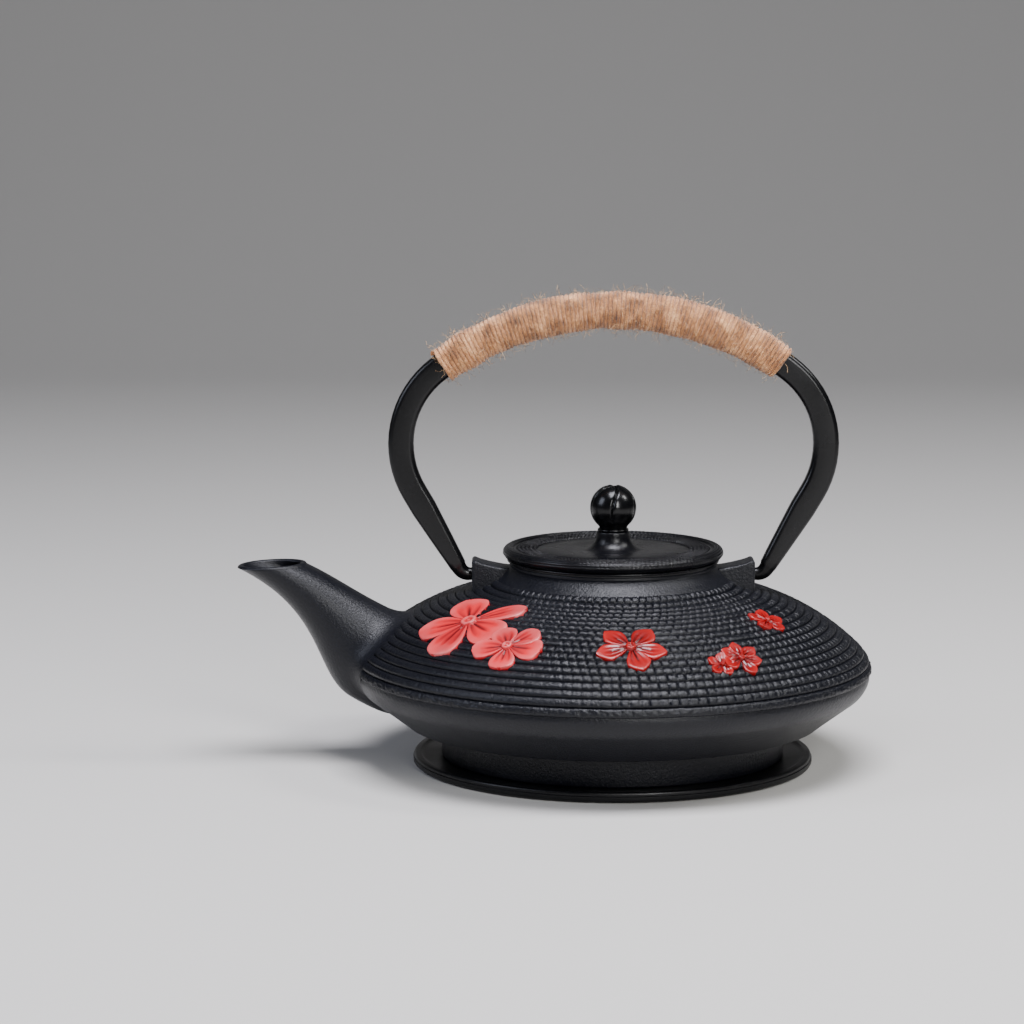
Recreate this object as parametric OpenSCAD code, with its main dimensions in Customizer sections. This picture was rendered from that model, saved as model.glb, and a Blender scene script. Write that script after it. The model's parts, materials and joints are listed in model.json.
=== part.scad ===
// Cast iron teapot with a twine wrapped bail handle, a tea basket and a trivet.
// The pot's axis is Z, the spout points to -X and the trivet stands on z = 0.

/* [Trivet] */
// How far the trivet stands out from the foot
trivet_margin = 10; // [6:0.5:16]
// Thickness of the trivet where the pot stands
trivet_t = 3; // [2:0.5:6]
// Height of the trivet's lip over its top
trivet_lip = 0.8; // [0.4:0.2:3]

/* [Bowl] */
// Largest radius of the bowl
belly_r = 90; // [75:1:110]
// Height of the widest ring over the foot
belly_h = 30; // [24:1:40]
// Radius of the round at the widest ring
belly_round = 10; // [7:0.5:12]
// Radius of the shoulder's arc
shoulder_round = 78; // [65:1:95]
// Slope of the shoulder where it meets the belly's round, in degrees
shoulder_slope = 45; // [40:1:50]
// Slope of the bowl under the belly, in degrees
under_slope = 32; // [26:1:38]
// How far the bowl's lower edge lies in from the belly
edge_in = 17; // [12:0.5:21]
// How far the foot lies in from the lower edge
foot_in = 13; // [9:0.5:18]
// Depth of the hollow under the foot
foot_hollow = 1.5; // [0.5:0.25:2]
// Thickness of the cast wall
wall = 3; // [2.5:0.25:4]

/* [Neck] */
// Outer radius of the neck at its top
neck_r = 36; // [31:0.5:44]
// Radius of the fillet between the neck and the shoulder
neck_fillet = 8.7; // [6:0.1:14]
// Thickness of the neck round the mouth
neck_wall = 4; // [3.2:0.1:6]
// Width of the rebate that the tea basket hangs in
rebate_w = 2; // [1.2:0.1:2.4]
// Depth of the rebate
rebate_h = 1.2; // [0.8:0.1:2]

/* [Spout] */
// How far the spout's tip stands out from the belly
spout_reach = 41.2; // [32:0.2:50]
// Length of the mouth of the spout
spout_mouth_l = 24.2; // [20:0.2:29]
// Width of the mouth of the spout
spout_mouth_w = 21; // [17:0.5:25]
// Width of the spout's root
spout_root_w = 34; // [28:0.5:40]
// How far the spout's mouth lies under the top of the neck
spout_drop = 0.9; // [0:0.1:4]

/* [Lugs] */
// Distance from the pot's axis to a lug's outer face
lug_x = 49.3; // [46:0.1:60]
// Width of a lug
lug_w = 12; // [9:0.5:16]
// Height of a lug's tip over the top of the neck
lug_rise = 1.2; // [0.6:0.1:3]
// How far the hook's hole lies under the top of the neck
pivot_drop = 4.2; // [3.6:0.1:4.6]
// Radius of the hooks' pins
pin_r = 2.2; // [1.8:0.1:2.4]
// Length of a pin inside its lug
pin_l = 8; // [6:0.5:9]

/* [Handle] */
// Height of the bar's centre at the crown over the hooks
crown_h = 92.3; // [84:0.1:112]
// Radius of the crown's arc
crown_round = 101; // [90:1:110]
// Half of the crown's arc, in degrees
crown_half = 37; // [32:1:40]
// Radius of the arcs at the corners
corner_round = 33; // [30:0.5:36]
// Width of the bar in the plane of the bail
bar_w = 8.9; // [7:0.1:10]
// Thickness of the bar
bar_t = 6; // [5.4:0.1:8]
// Width of the bar at the hooks
hook_w = 5.2; // [5:0.1:5.6]
// Thickness of the twine's wrap on the bar
wrap_t = 2.2; // [1.5:0.1:3]
// Half of the arc that the twine covers, in degrees
wrap_half = 36.4; // [28:0.2:36.8]

/* [Lid] */
// How far the lid stands out from the neck
lid_overhang = 2.4; // [1.6:0.1:4]
// Radius of the bead's round
bead_r = 2; // [1.5:0.1:2.4]
// Height of the bead's crest over the neck
lid_h = 5.6; // [5:0.1:8]
// Depth of the dish under the bead's crest
dish_h = 0.8; // [0.4:0.1:1.4]
// Height of the boss over the bead's crest
boss_h = 5.3; // [4:0.1:8]
// Radius of the boss at its top
boss_r = 5.9; // [5.2:0.1:7]
// Radius of the fillet round the boss
boss_fillet = 5; // [3:0.1:5.5]
// Depth of the skirt that keeps the lid in place
skirt_h = 4.7; // [3.5:0.1:8]
// Thickness of the skirt
skirt_t = 2.4; // [2:0.1:3]

/* [Knob] */
// Radius of the knob's ball
knob_r = 8.1; // [7:0.1:9.5]
// Height of the knob
knob_h = 16.4; // [15.5:0.1:20]
// Radius of the knob's neck
knob_neck_r = 5; // [4:0.1:5.2]
// Radius of the knob's stud
stud_r = 2; // [1.5:0.1:2.2]
// Thickness of the washer
washer_t = 0.8; // [0.6:0.1:1.2]
// Thickness of the nut
nut_t = 3; // [2.4:0.1:3.2]

/* [Tea basket] */
// Height of the basket under its flange
basket_h = 41; // [30:0.5:46]
// Thickness of the basket's mesh
mesh_t = 0.4; // [0.3:0.05:0.6]
// Thickness of the bands that clamp the mesh
band_t = 0.5; // [0.3:0.05:0.6]
// Height of the bands
band_h = 3.6; // [2.5:0.1:6]

/* [Flowers] */
// Height of the petals over the shoulder
petal_h = 1.4; // [0.8:0.1:2]
// Length of the small left flower's petals, which overlap the large one
small_petal = 11.5; // [9:0.5:13]
// Height of the flowers' hearts over the shoulder
heart_h = 2.1; // [1.2:0.1:3]

/* [Hidden] */

iron = [0.12, 0.12, 0.13];
gloss_iron = [0.05, 0.05, 0.06];
steel = [0.75, 0.75, 0.77];
twine = [0.80, 0.62, 0.42];
coral = [0.85, 0.35, 0.33];
red = [0.72, 0.12, 0.11];

$fn = 96;
bar_edge = 2.5;    // round of the bar's edges
run_gap = 0.05;    // a pin in its hole
seat_gap = 0.2;    // the basket's flange under the lid
slip_gap = 0.3;    // what lifts out of a round hole
hook_gap = 0.5;    // a hook beside its lug
hook_heel = 1.2;   // how far a leg runs past its pin's centre
arc_step = 5;      // degrees along a long arc
tight_step = 9;    // degrees along a tight arc

// The foot stands on the trivet's top
foot_z = trivet_t;
edge_r = belly_r - edge_in;
foot_r = edge_r - foot_in;
trivet_r = foot_r + trivet_margin;
belly_c = [belly_r - belly_round, foot_z + belly_h];
shoulder_lean = 90 - shoulder_slope;
shoulder_c = belly_c - (shoulder_round - belly_round) * [cos(shoulder_lean), sin(shoulder_lean)];
// The neck's fillet touches the shoulder's arc and turns upright at the neck
fillet_x = neck_r + neck_fillet;
fillet_lean = acos((fillet_x - shoulder_c[0]) / (shoulder_round + neck_fillet));
neck_z = shoulder_c[1] + (shoulder_round + neck_fillet) * sin(fillet_lean);
fillet_c = [fillet_x, neck_z];
mouth_r = neck_r - neck_wall;
rebate_r = mouth_r + rebate_w;
under_lean = under_slope - 90;
under_start = belly_c + belly_round * [cos(under_lean), sin(under_lean)];
edge_z = under_start[1] - (under_start[0] - edge_r) * tan(under_slope);
foot_top_z = edge_z - 2.5;

pivot_z = neck_z - pivot_drop;
hook_x = lug_x + hook_gap + hook_w / 2;
crown_c = [0, pivot_z + crown_h - crown_round];
corner_c = crown_c + (crown_round - corner_round) * [sin(crown_half), cos(crown_half)];
// Each leg runs from its hook to the corner's arc, which it touches
leg_reach = norm(corner_c - [hook_x, pivot_z]);
leg_l = sqrt(leg_reach * leg_reach - corner_round * corner_round);
leg_lean = asin(corner_round / leg_reach) + atan2(corner_c[0] - hook_x, corner_c[1] - pivot_z);

bead_c = [neck_r + lid_overhang - bead_r, neck_z + lid_h - bead_r];
dish_z = neck_z + lid_h - dish_h;
boss_z = neck_z + lid_h + boss_h;
lid_under_z = dish_z - wall;
basket_r = mouth_r - slip_gap - band_t;
skirt_r = basket_r - mesh_t - slip_gap;
rebate_z = neck_z - rebate_h;
flange_top_z = neck_z - seat_gap;
basket_z = rebate_z - basket_h;

lip_z = neck_z - spout_drop;

// The left flowers stand a distance apart; the large one is cut away where the small one stands
left_apart = 26.67;
large_azimuth = -141.8;
small_inset = 17.6;
small_azimuth = large_azimuth + left_apart / (belly_r - small_inset) * 180 / PI;

function arc(c, r, from, to, step) =
    let (n = ceil(abs(to - from) / step))
    [for (i = [0:n]) let (a = from + (to - from) * i / n) c + r * [cos(a), sin(a)]];

function bezier(p, t) =
    pow(1 - t, 3) * p[0] + 3 * pow(1 - t, 2) * t * p[1]
    + 3 * (1 - t) * t * t * p[2] + pow(t, 3) * p[3];

// Height of the shoulder's arc at a radius
function shoulder_z(r) = shoulder_c[1] + sqrt(pow(shoulder_round, 2) - pow(r - shoulder_c[0], 2));

// The shoulder's outline from the belly up to the neck, moved out by a distance
function shoulder_line(out, start) = concat(
    arc(belly_c, belly_round + out, start, shoulder_lean, tight_step),
    arc(shoulder_c, shoulder_round + out, shoulder_lean, fillet_lean, arc_step));

module trivet() {
    edge = 1;
    color(iron) rotate_extrude() polygon([
        [0, 0], [trivet_r - edge, 0], [trivet_r, edge],
        [trivet_r, trivet_t + trivet_lip - edge / 2],
        [trivet_r - edge / 2, trivet_t + trivet_lip],
        [trivet_r - 2.5 * edge, trivet_t + trivet_lip],
        [trivet_r - 3.5 * edge, trivet_t], [0, trivet_t]]);
}

// The bowl's outside, filled up to the neck's top
module bowl_outside() {
    rotate_extrude() polygon(concat(
        [[0, foot_z + foot_hollow], [foot_r - 2 * wall, foot_z + foot_hollow],
         [foot_r - 2 * wall, foot_z], [foot_r, foot_z], [foot_r, foot_top_z], [edge_r, edge_z]],
        shoulder_line(0, under_lean),
        arc(fillet_c, neck_fillet, 180 + fillet_lean, 180, tight_step),
        [[0, neck_z]]));
}

module bowl_inside() {
    over = 1;
    inner_foot = foot_r - wall;
    floor_z = foot_z + foot_hollow + wall;
    throat_lean = acos((mouth_r - shoulder_c[0]) / (shoulder_round - wall));
    rotate_extrude() polygon(concat(
        [[0, floor_z], [inner_foot, floor_z], [inner_foot, foot_top_z + wall],
         [edge_r - wall * sin(under_slope), edge_z + wall * cos(under_slope)]],
        arc(belly_c, belly_round - wall, under_lean, shoulder_lean, tight_step),
        arc(shoulder_c, shoulder_round - wall, shoulder_lean, throat_lean, arc_step),
        [[mouth_r, rebate_z], [rebate_r, rebate_z], [rebate_r, neck_z + over], [0, neck_z + over]]));
}

// A tube through rings that have the same number of points
module loft(rings) {
    n = len(rings[0]);
    last = (len(rings) - 1) * n;
    polyhedron(
        points = [for (ring = rings) each ring],
        faces = concat(
            [[for (i = [0:n - 1]) i]],
            [[for (i = [n - 1:-1:0]) last + i]],
            [for (k = [0:len(rings) - 2], i = [0:n - 1]) let (j = (i + 1) % n)
                each [[k * n + i, (k + 1) * n + i, (k + 1) * n + j],
                      [k * n + i, (k + 1) * n + j, k * n + j]]]));
}

// One oval ring of the spout between a point on its top and one on its underside
function spout_ring(top, under, half_w, thin, lift) =
    let (mid = (top + under) / 2, arm = (top - under) / 2,
         half_l = norm(arm) - thin, dir = arm / norm(arm), sides = 28)
    [for (i = [0:sides - 1]) let (a = 360 * i / sides)
        [mid[0] + dir[0] * half_l * cos(a),
         (half_w - thin) * sin(a),
         mid[1] + dir[1] * half_l * cos(a) + lift]];

// The spout's top and underside are two curves that the rings run between
module spout_solid(thin, lift) {
    tip = [-belly_r - spout_reach, lip_z - 1];
    back = [tip[0] + spout_mouth_l, lip_z];
    top = [[-belly_r + 20, lip_z - 19.3], [back[0] + 20.9, lip_z - 13],
           [back[0] + 12.2, lip_z - 5.5], back];
    under = [[-belly_r - 2.4, foot_z + 20.6], [tip[0] + 29.8, foot_z + 38.6],
             [tip[0] + 21.6, tip[1] - 10.7], tip];
    rings = 12;
    root = spout_ring(top[0] + [11, -5], under[0] + [19.2, -6.2], spout_root_w / 2, thin, 0);
    body = [for (k = [0:rings]) let (t = k / rings,
                half_w = spout_mouth_w / 2 + (spout_root_w - spout_mouth_w) / 2 * pow(1 - t, 2))
            spout_ring(bezier(top, t), bezier(under, t), half_w, thin, 0)];
    rise = [for (p = body[rings]) p + [0, 0, lift]];
    loft(concat([root], body, lift > 0 ? [rise] : []));
}

module lug() {
    chamfer = 0.8;
    tip_z = neck_z + lug_rise;
    root_z = shoulder_z(lug_x) - wall;
    rotate([90, 0, 0]) linear_extrude(lug_w, center = true) polygon([
        [lug_x, root_z], [lug_x, tip_z - 2 * chamfer], [lug_x - chamfer, tip_z],
        [neck_r + 1.7, neck_z - 3.2], [neck_r - 1, neck_z - 4], [neck_r - 1, root_z]]);
}

module pot_body() {
    color(iron) difference() {
        union() {
            bowl_outside();
            spout_solid(0, 0);
            for (side = [0, 1]) mirror([side, 0, 0]) lug();
        }
        bowl_inside();
        spout_solid(wall, 3);
        for (side = [-1, 1]) translate([side * (lug_x + 1), 0, pivot_z]) rotate([0, -side * 90, 0])
            cylinder(h = pin_l + 2, r = pin_r + run_gap);
    }
}

module lid() {
    hole_r = stud_r + run_gap;
    color(iron) rotate_extrude() polygon(concat(
        [[hole_r, lid_under_z], [hole_r, boss_z]],
        arc([boss_r + boss_fillet, dish_z + boss_fillet], boss_fillet, 180, 270, tight_step),
        arc(bead_c, bead_r, 150, -80, tight_step * 2),
        [[neck_r, neck_z + bead_r / 2], [neck_r, neck_z], [skirt_r, neck_z],
         [skirt_r, neck_z - skirt_h], [skirt_r - skirt_t, neck_z - skirt_h],
         [skirt_r - skirt_t, lid_under_z]]));
}

module lid_knob() {
    ball_z = boss_z + knob_h - knob_r;
    stud_end_z = lid_under_z - washer_t - nut_t - 0.6;
    color(gloss_iron) {
        translate([0, 0, ball_z]) sphere(knob_r);
        translate([0, 0, boss_z]) cylinder(h = ball_z - boss_z, r = knob_neck_r);
        translate([0, 0, stud_end_z]) cylinder(h = boss_z - stud_end_z + 1, r = stud_r);
    }
}

module knob_washer() {
    color(steel) translate([0, 0, lid_under_z - washer_t]) difference() {
        cylinder(h = washer_t, r = 3 * stud_r);
        translate([0, 0, -1]) cylinder(h = washer_t + 2, r = stud_r + run_gap);
    }
}

module knob_nut() {
    color(steel) translate([0, 0, lid_under_z - washer_t - nut_t]) difference() {
        cylinder(h = nut_t, r = 2 * stud_r, $fn = 6);
        translate([0, 0, -1]) cylinder(h = nut_t + 2, r = stud_r + run_gap);
    }
}

// The bail's line from the right hook to the left: x, z, the outward normal's angle, width
function leg_line() = [for (part = [[-hook_heel, hook_w], [0, hook_w], [0.75 * leg_l, bar_w]])
    [hook_x + part[0] * sin(leg_lean), pivot_z + part[0] * cos(leg_lean), -leg_lean, part[1]]];

function arc_line(c, r, from, to, step) = let (n = ceil(abs(to - from) / step))
    [for (i = [0:n]) let (a = from + (to - from) * i / n)
        [c[0] + r * cos(a), c[1] + r * sin(a), a, bar_w]];

function half_bail() = concat(leg_line(),
    arc_line(corner_c, corner_round, -leg_lean, 90 - crown_half - 1, 7),
    arc_line(crown_c, crown_round, 90 - crown_half, 90, 4));

function whole_bail() = let (half = half_bail(), last = len(half) - 1)
    concat(half, [for (i = [last - 1:-1:0])
        [-half[i][0], half[i][1], 180 - half[i][2], half[i][3]]]);

// A bar's section with round edges, set square to the bail's line
function bar_ring(at, w, t, round) =
    [for (k = [0:3], a = [0, 45, 90])
        let (turn = 90 * k + a,
             u = (w / 2 - round) * sign(cos(90 * k + 45)) + round * cos(turn),
             v = (t / 2 - round) * sign(sin(90 * k + 45)) + round * sin(turn))
        [at[0] + u * cos(at[2]), v, at[1] + u * sin(at[2])]];

module bail_bar() {
    loft([for (at = whole_bail()) bar_ring(at, at[3], bar_t, bar_edge)]);
}

module handle_bar() {
    color(gloss_iron) {
        bail_bar();
        for (side = [-1, 1]) translate([side * hook_x, 0, pivot_z]) rotate([0, -side * 90, 0])
            cylinder(h = hook_x - lug_x + pin_l, r = pin_r);
    }
}

module grip_wrap() {
    color(twine) difference() {
        loft([for (at = arc_line(crown_c, crown_round, 90 - wrap_half, 90 + wrap_half, 5))
            bar_ring(at, bar_w + 2 * wrap_t, bar_t + 2 * wrap_t, bar_edge + wrap_t)]);
        bail_bar();
    }
}

module ring(inner, outer, low, high) {
    rotate_extrude() translate([inner, low]) square([outer - inner, high - low]);
}

module infuser_rim() {
    color(steel) {
        ring(basket_r, rebate_r - slip_gap, rebate_z, flange_top_z);
        ring(basket_r, basket_r + band_t, rebate_z - band_h, rebate_z + band_t);
    }
}

module infuser_mesh() {
    color(steel) ring(basket_r - mesh_t, basket_r, basket_z + band_t, flange_top_z);
}

module infuser_base() {
    color(steel) {
        ring(0, basket_r + band_t, basket_z, basket_z + band_t);
        ring(basket_r, basket_r + band_t, basket_z, basket_z + band_h);
    }
}

// A skin of one height that lies on the shoulder all round
module shoulder_skin(h) {
    rotate_extrude() polygon(concat(shoulder_line(h, 0),
        [for (i = [len(shoulder_line(0, 0)) - 1:-1:0]) shoulder_line(0, 0)[i]]));
}

// Stands its children on the shoulder, at a distance in from the belly and an azimuth
module on_shoulder(inset, azimuth, spin) {
    r = belly_r - inset;
    slope = asin((r - shoulder_c[0]) / shoulder_round);
    translate([r * cos(azimuth), r * sin(azimuth), shoulder_z(r)])
        rotate([0, slope, azimuth]) rotate([0, 0, spin]) children();
}

module petals(l, w) {
    curve = (l * l + w * w) / (4 * w);
    for (k = [0:4]) rotate(72 * k) translate([l / 2, 0]) intersection() {
        translate([0, curve - w / 2]) circle(curve);
        translate([0, w / 2 - curve]) circle(curve);
    }
}

module flower(inset, azimuth, spin, l, w) {
    reach = 2 * l;
    intersection() {
        on_shoulder(inset, azimuth, spin) linear_extrude(reach, center = true) petals(l, w);
        shoulder_skin(petal_h);
    }
    intersection() {
        on_shoulder(inset, azimuth, spin) linear_extrude(reach, center = true) circle(l / 5);
        shoulder_skin(heart_h);
    }
}

module flower_left_large() {
    color(coral) difference() {
        flower(25.6, large_azimuth, 5, 18, 11);
        on_shoulder(small_inset, small_azimuth, 0)
            linear_extrude(4 * small_petal, center = true) circle(small_petal + seat_gap);
    }
}

module flower_left_small() {
    color(coral) flower(small_inset, small_azimuth, 18, small_petal, 9.5);
}

module flower_front() { color(red) flower(19, -86.9, 20, 11, 9.4); }
module flower_right_large() { color(red) flower(12.6, -57.8, 40, 6.5, 6); }
module flower_right_small() { color(red) flower(11.2, -66.6, 10, 4.6, 4.4); }
module flower_right_upper() { color(red) flower(26.2, -37.2, 10, 6.3, 6); }

trivet();
pot_body();
lid();
lid_knob();
knob_washer();
knob_nut();
handle_bar();
grip_wrap();
infuser_rim();
infuser_mesh();
infuser_base();
flower_left_large();
flower_left_small();
flower_front();
flower_right_large();
flower_right_small();
flower_right_upper();
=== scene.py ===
import functools
import json
import math

import bmesh
import bpy
import numpy as np
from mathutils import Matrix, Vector


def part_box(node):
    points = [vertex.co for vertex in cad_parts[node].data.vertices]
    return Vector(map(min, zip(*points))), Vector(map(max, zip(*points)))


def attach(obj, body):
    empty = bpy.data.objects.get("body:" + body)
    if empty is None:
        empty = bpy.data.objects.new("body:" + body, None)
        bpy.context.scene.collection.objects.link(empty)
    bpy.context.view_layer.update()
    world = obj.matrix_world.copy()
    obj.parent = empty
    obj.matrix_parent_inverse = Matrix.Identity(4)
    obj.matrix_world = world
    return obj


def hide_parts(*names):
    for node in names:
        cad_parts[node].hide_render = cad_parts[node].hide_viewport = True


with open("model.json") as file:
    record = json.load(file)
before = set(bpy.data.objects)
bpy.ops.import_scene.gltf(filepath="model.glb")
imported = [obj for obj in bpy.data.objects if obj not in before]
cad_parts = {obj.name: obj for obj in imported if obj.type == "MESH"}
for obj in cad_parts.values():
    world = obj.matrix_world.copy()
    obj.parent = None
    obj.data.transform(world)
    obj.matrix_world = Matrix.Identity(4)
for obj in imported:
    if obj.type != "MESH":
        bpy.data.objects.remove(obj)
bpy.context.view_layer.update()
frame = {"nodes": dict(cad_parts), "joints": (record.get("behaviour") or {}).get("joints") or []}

# ---------------------------------------------------------------------------------------
# Camera, lights and floor. The pot stands on a plain pale floor in soft studio light, and
# the camera looks at it from the front and a little from above, with the spout at the left.
# ---------------------------------------------------------------------------------------

MM = 0.001
camera_place = Vector((-0.0353, -1.216, 0.2613))
camera_tilt = math.radians(8.1)
camera_lens = 123.8

camera_data = bpy.data.cameras.new("camera")
camera_data.lens = camera_lens
camera_data.sensor_width = 36
camera = bpy.data.objects.new("camera", camera_data)
camera.location = camera_place
camera.rotation_euler = (math.pi / 2 - camera_tilt, 0, 0)
bpy.context.scene.collection.objects.link(camera)
bpy.context.scene.camera = camera


def linear(hex_colour):
    """An sRGB hex colour as linear red, green, blue and alpha."""
    parts = [int(hex_colour[i:i + 2], 16) / 255 for i in (1, 3, 5)]
    return [c / 12.92 if c <= 0.04045 else ((c + 0.055) / 1.055) ** 2.4 for c in parts] + [1]


def add(tree, kind, feeds=(), **settings):
    """Adds a node, sets it up and fills or links its inputs, by name or in order.

    A kind in capitals is the operation of a Math node."""
    if kind.isupper():
        kind, settings = "ShaderNodeMath", {"operation": kind, **settings}
    node = tree.nodes.new(kind)
    for name, value in settings.items():
        setattr(node, name, value)
    for key, value in feeds.items() if isinstance(feeds, dict) else enumerate(feeds):
        if isinstance(value, bpy.types.Node):
            tree.links.new(value.outputs[0], node.inputs[key])
        elif isinstance(value, bpy.types.NodeSocket):
            tree.links.new(value, node.inputs[key])
        else:
            node.inputs[key].default_value = value
    return node


def new_material(name):
    """A material with a fresh tree: its tree, its shader and its Object coordinates."""
    material = bpy.data.materials.new(name)
    material.use_nodes = True
    tree = material.node_tree
    tree.nodes.clear()
    shader = add(tree, "ShaderNodeBsdfPrincipled")
    add(tree, "ShaderNodeOutputMaterial", {"Surface": shader})
    coordinates = add(tree, "ShaderNodeTexCoord").outputs["Object"]
    return material, tree, shader, coordinates


def light(name, place, aim, size, power, colour):
    """A soft box that stands at a place in metres and faces another, with its power in watts."""
    data = bpy.data.lights.new(name, "AREA")
    data.shape = "RECTANGLE"
    data.size, data.size_y = size
    data.energy = power
    data.color = linear(colour)[:3]
    lamp = bpy.data.objects.new(name, data)
    lamp.location = place
    lamp.rotation_euler = (Vector(aim) - Vector(place)).to_track_quat("-Z", "Y").to_euler()
    bpy.context.scene.collection.objects.link(lamp)


light("soft_box_above", (0.05, -0.30, 1.15), (0, -0.05, 0.06), (0.70, 0.50), 28, "#f6f6ff")
light("soft_box_front", (0.45, -1.25, 0.62), (0, 0, 0.08), (0.22, 0.70), 15, "#ffffff")
light("soft_box_left", (-1.05, -0.35, 0.70), (0, 0, 0.07), (0.45, 0.6), 6, "#e6ecff")
light("soft_box_right", (0.85, -0.10, 0.90), (0, 0, 0.08), (0.25, 0.35), 6, "#ffffff")

world = bpy.data.worlds.new("studio")
world.use_nodes = True
world.node_tree.nodes["Background"].inputs["Color"].default_value = linear("#aeb4b8")
world.node_tree.nodes["Background"].inputs["Strength"].default_value = 0.12
bpy.context.scene.world = world

# The floor sweeps up behind the pot in one smooth curve, like a roll of studio paper.
# These five sizes are in metres.
sweep_start, sweep_r, sweep_top, sweep_half, front_y = 1.3, 1.2, 5.0, 6.0, -3.0
sweep = bmesh.new()
sweep_line = ([(front_y, 0)]
              + [(sweep_start + sweep_r * math.sin(a), sweep_r * (1 - math.cos(a)))
                 for a in np.linspace(0, math.pi / 2, 25)]
              + [(sweep_start + sweep_r, sweep_top)])
left_row, right_row = [[sweep.verts.new((x, y, z)) for y, z in sweep_line]
                       for x in (-sweep_half, sweep_half)]
for k in range(len(sweep_line) - 1):
    sweep.faces.new((left_row[k], right_row[k], right_row[k + 1], left_row[k + 1]))
sweep_mesh = bpy.data.meshes.new("floor")
sweep.to_mesh(sweep_mesh)
sweep.free()
sweep_mesh.shade_smooth()
floor = bpy.data.objects.new("floor", sweep_mesh)
bpy.context.scene.collection.objects.link(floor)
# Matt grey-white paint: pale and even, so that the black pot's edge reads against it
floor_paint, _, shader, _ = new_material("matt floor paint")
shader.inputs["Base Color"].default_value = linear("#c3c1bd")
shader.inputs["Roughness"].default_value = 0.75
floor.data.materials.append(floor_paint)

# ---------------------------------------------------------------------------------------
# Trivet. A flat plate of cast iron with a low lip, turned on its edge and painted black.
# Its edge has a fine step, and its paint keeps the grain of the sand it was cast in.
# ---------------------------------------------------------------------------------------

trivet_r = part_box("trivet")[1].x / MM
trivet_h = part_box("trivet")[1].z / MM
foot_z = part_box("pot_body")[0].z / MM


def arc(centre_r, centre_z, radius, start, end, steps):
    """Points on an arc of an outline, with its angles in degrees from outwards to up."""
    angles = np.radians(np.linspace(start, end, steps + 1))
    return [(centre_r + radius * math.cos(a), centre_z + radius * math.sin(a)) for a in angles]


def finish_mesh(name, mesh, material, body, crease=38):
    """Turns a mesh into a shaded piece that rides on a body."""
    mesh.shade_smooth()
    mesh.set_sharp_from_angle(angle=math.radians(crease))
    if material is not None:
        mesh.materials.clear()
        mesh.materials.append(material)
    piece = bpy.data.objects.new(name, mesh)
    bpy.context.scene.collection.objects.link(piece)
    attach(piece, body)
    return piece


def shell_mesh(name, rows, closed_rows=False, poles=(False, False)):
    """A mesh over rows of points (mm) that each close on themselves, with capped poles."""
    mesh = bmesh.new()
    grid = [[mesh.verts.new(Vector(p) * MM) for p in row] for row in rows]
    pairs = list(zip(grid, grid[1:] + grid[:1] if closed_rows else grid[1:]))
    for upper, lower in pairs:
        n = len(upper)
        for i in range(n):
            mesh.faces.new((upper[i], lower[i], lower[(i + 1) % n], upper[(i + 1) % n]))
    for row, capped in ((grid[0], poles[0]), (grid[-1], poles[1])):
        if capped:
            mesh.faces.new(row)
    bmesh.ops.remove_doubles(mesh, verts=mesh.verts, dist=1e-6)
    bmesh.ops.dissolve_degenerate(mesh, edges=mesh.edges, dist=1e-7)
    bmesh.ops.recalc_face_normals(mesh, faces=mesh.faces)
    data = bpy.data.meshes.new(name)
    mesh.to_mesh(data)
    mesh.free()
    return data


def turned(name, outline, sides=192):
    """A mesh turned about the pot's axis from an outline of (radius, height) in mm."""
    turns = [2 * math.pi * i / sides for i in range(sides)]
    rows = [[(r * math.cos(a), r * math.sin(a), z) for a in turns] for r, z in outline]
    return shell_mesh(name, rows, closed_rows=outline[0][0] > 0)


def cast_iron(name, colour, roughness, grain, depth):
    """Black painted cast iron: the sand's grain shows through, and its tips catch the light."""
    material, tree, shader, place = new_material(name)
    sand = add(tree, "ShaderNodeTexNoise",
               {"Vector": place, "Scale": 1 / (grain * MM), "Detail": 3, "Roughness": 0.62})
    pores = add(tree, "ShaderNodeTexVoronoi", {"Vector": place, "Scale": 0.55 / (grain * MM)})
    drift = add(tree, "ShaderNodeTexNoise", {"Vector": place, "Scale": 0.045 / MM, "Detail": 4})
    relief = add(tree, "MULTIPLY_ADD", [pores, 0.45, sand])
    bump = add(tree, "ShaderNodeBump", {"Height": relief, "Strength": 1.0, "Distance": depth * MM})
    dark = linear(colour)
    worn = [c * 3 for c in dark[:3]] + [1]
    tips = add(tree, "ShaderNodeMapRange", {"Value": sand, "From Min": 0.52, "From Max": 0.78})
    paint = add(tree, "ShaderNodeMix", {"Factor": tips, 6: dark, 7: worn}, data_type="RGBA")
    tree.links.new(paint.outputs[2], shader.inputs["Base Color"])
    tree.links.new(bump.outputs[0], shader.inputs["Normal"])
    shader.inputs["Specular IOR Level"].default_value = 0.3
    shine = add(tree, "ShaderNodeMapRange", {"Value": drift, "From Min": 0.3, "From Max": 0.7,
                                             "To Min": roughness - 0.06,
                                             "To Max": roughness + 0.08})
    tree.links.new(shine.outputs[0], shader.inputs["Roughness"])
    return material


# A thin coat over fine sand: nearly black, with a soft line of light along its edge
trivet_iron = cast_iron("black painted cast iron, trivet", "#050507", 0.34, 0.6, 0.07)
edge = 0.9
trivet_outline = (
    [(0, 0), (trivet_r - 2.2, 0), (trivet_r - 2.0, 0.35), (trivet_r - edge, 0.35)]
    + arc(trivet_r - edge, 0.35 + edge, edge, -90, 0, 5)
    + [(trivet_r, 2.3), (trivet_r - 0.35, 2.45), (trivet_r - 0.35, 2.75)]
    + arc(trivet_r - 1.15, trivet_h - 0.8, 0.8, 0, 90, 5)
    + arc(trivet_r - 2.4, trivet_h - 0.55, 0.55, 90, 150, 3)
    + [(trivet_r - 3.6, foot_z + 0.08), (trivet_r - 4.4, foot_z), (0, foot_z)])
trivet = finish_mesh("trivet_plate", turned("trivet_plate", trivet_outline), trivet_iron,
                     "trivet")
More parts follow.
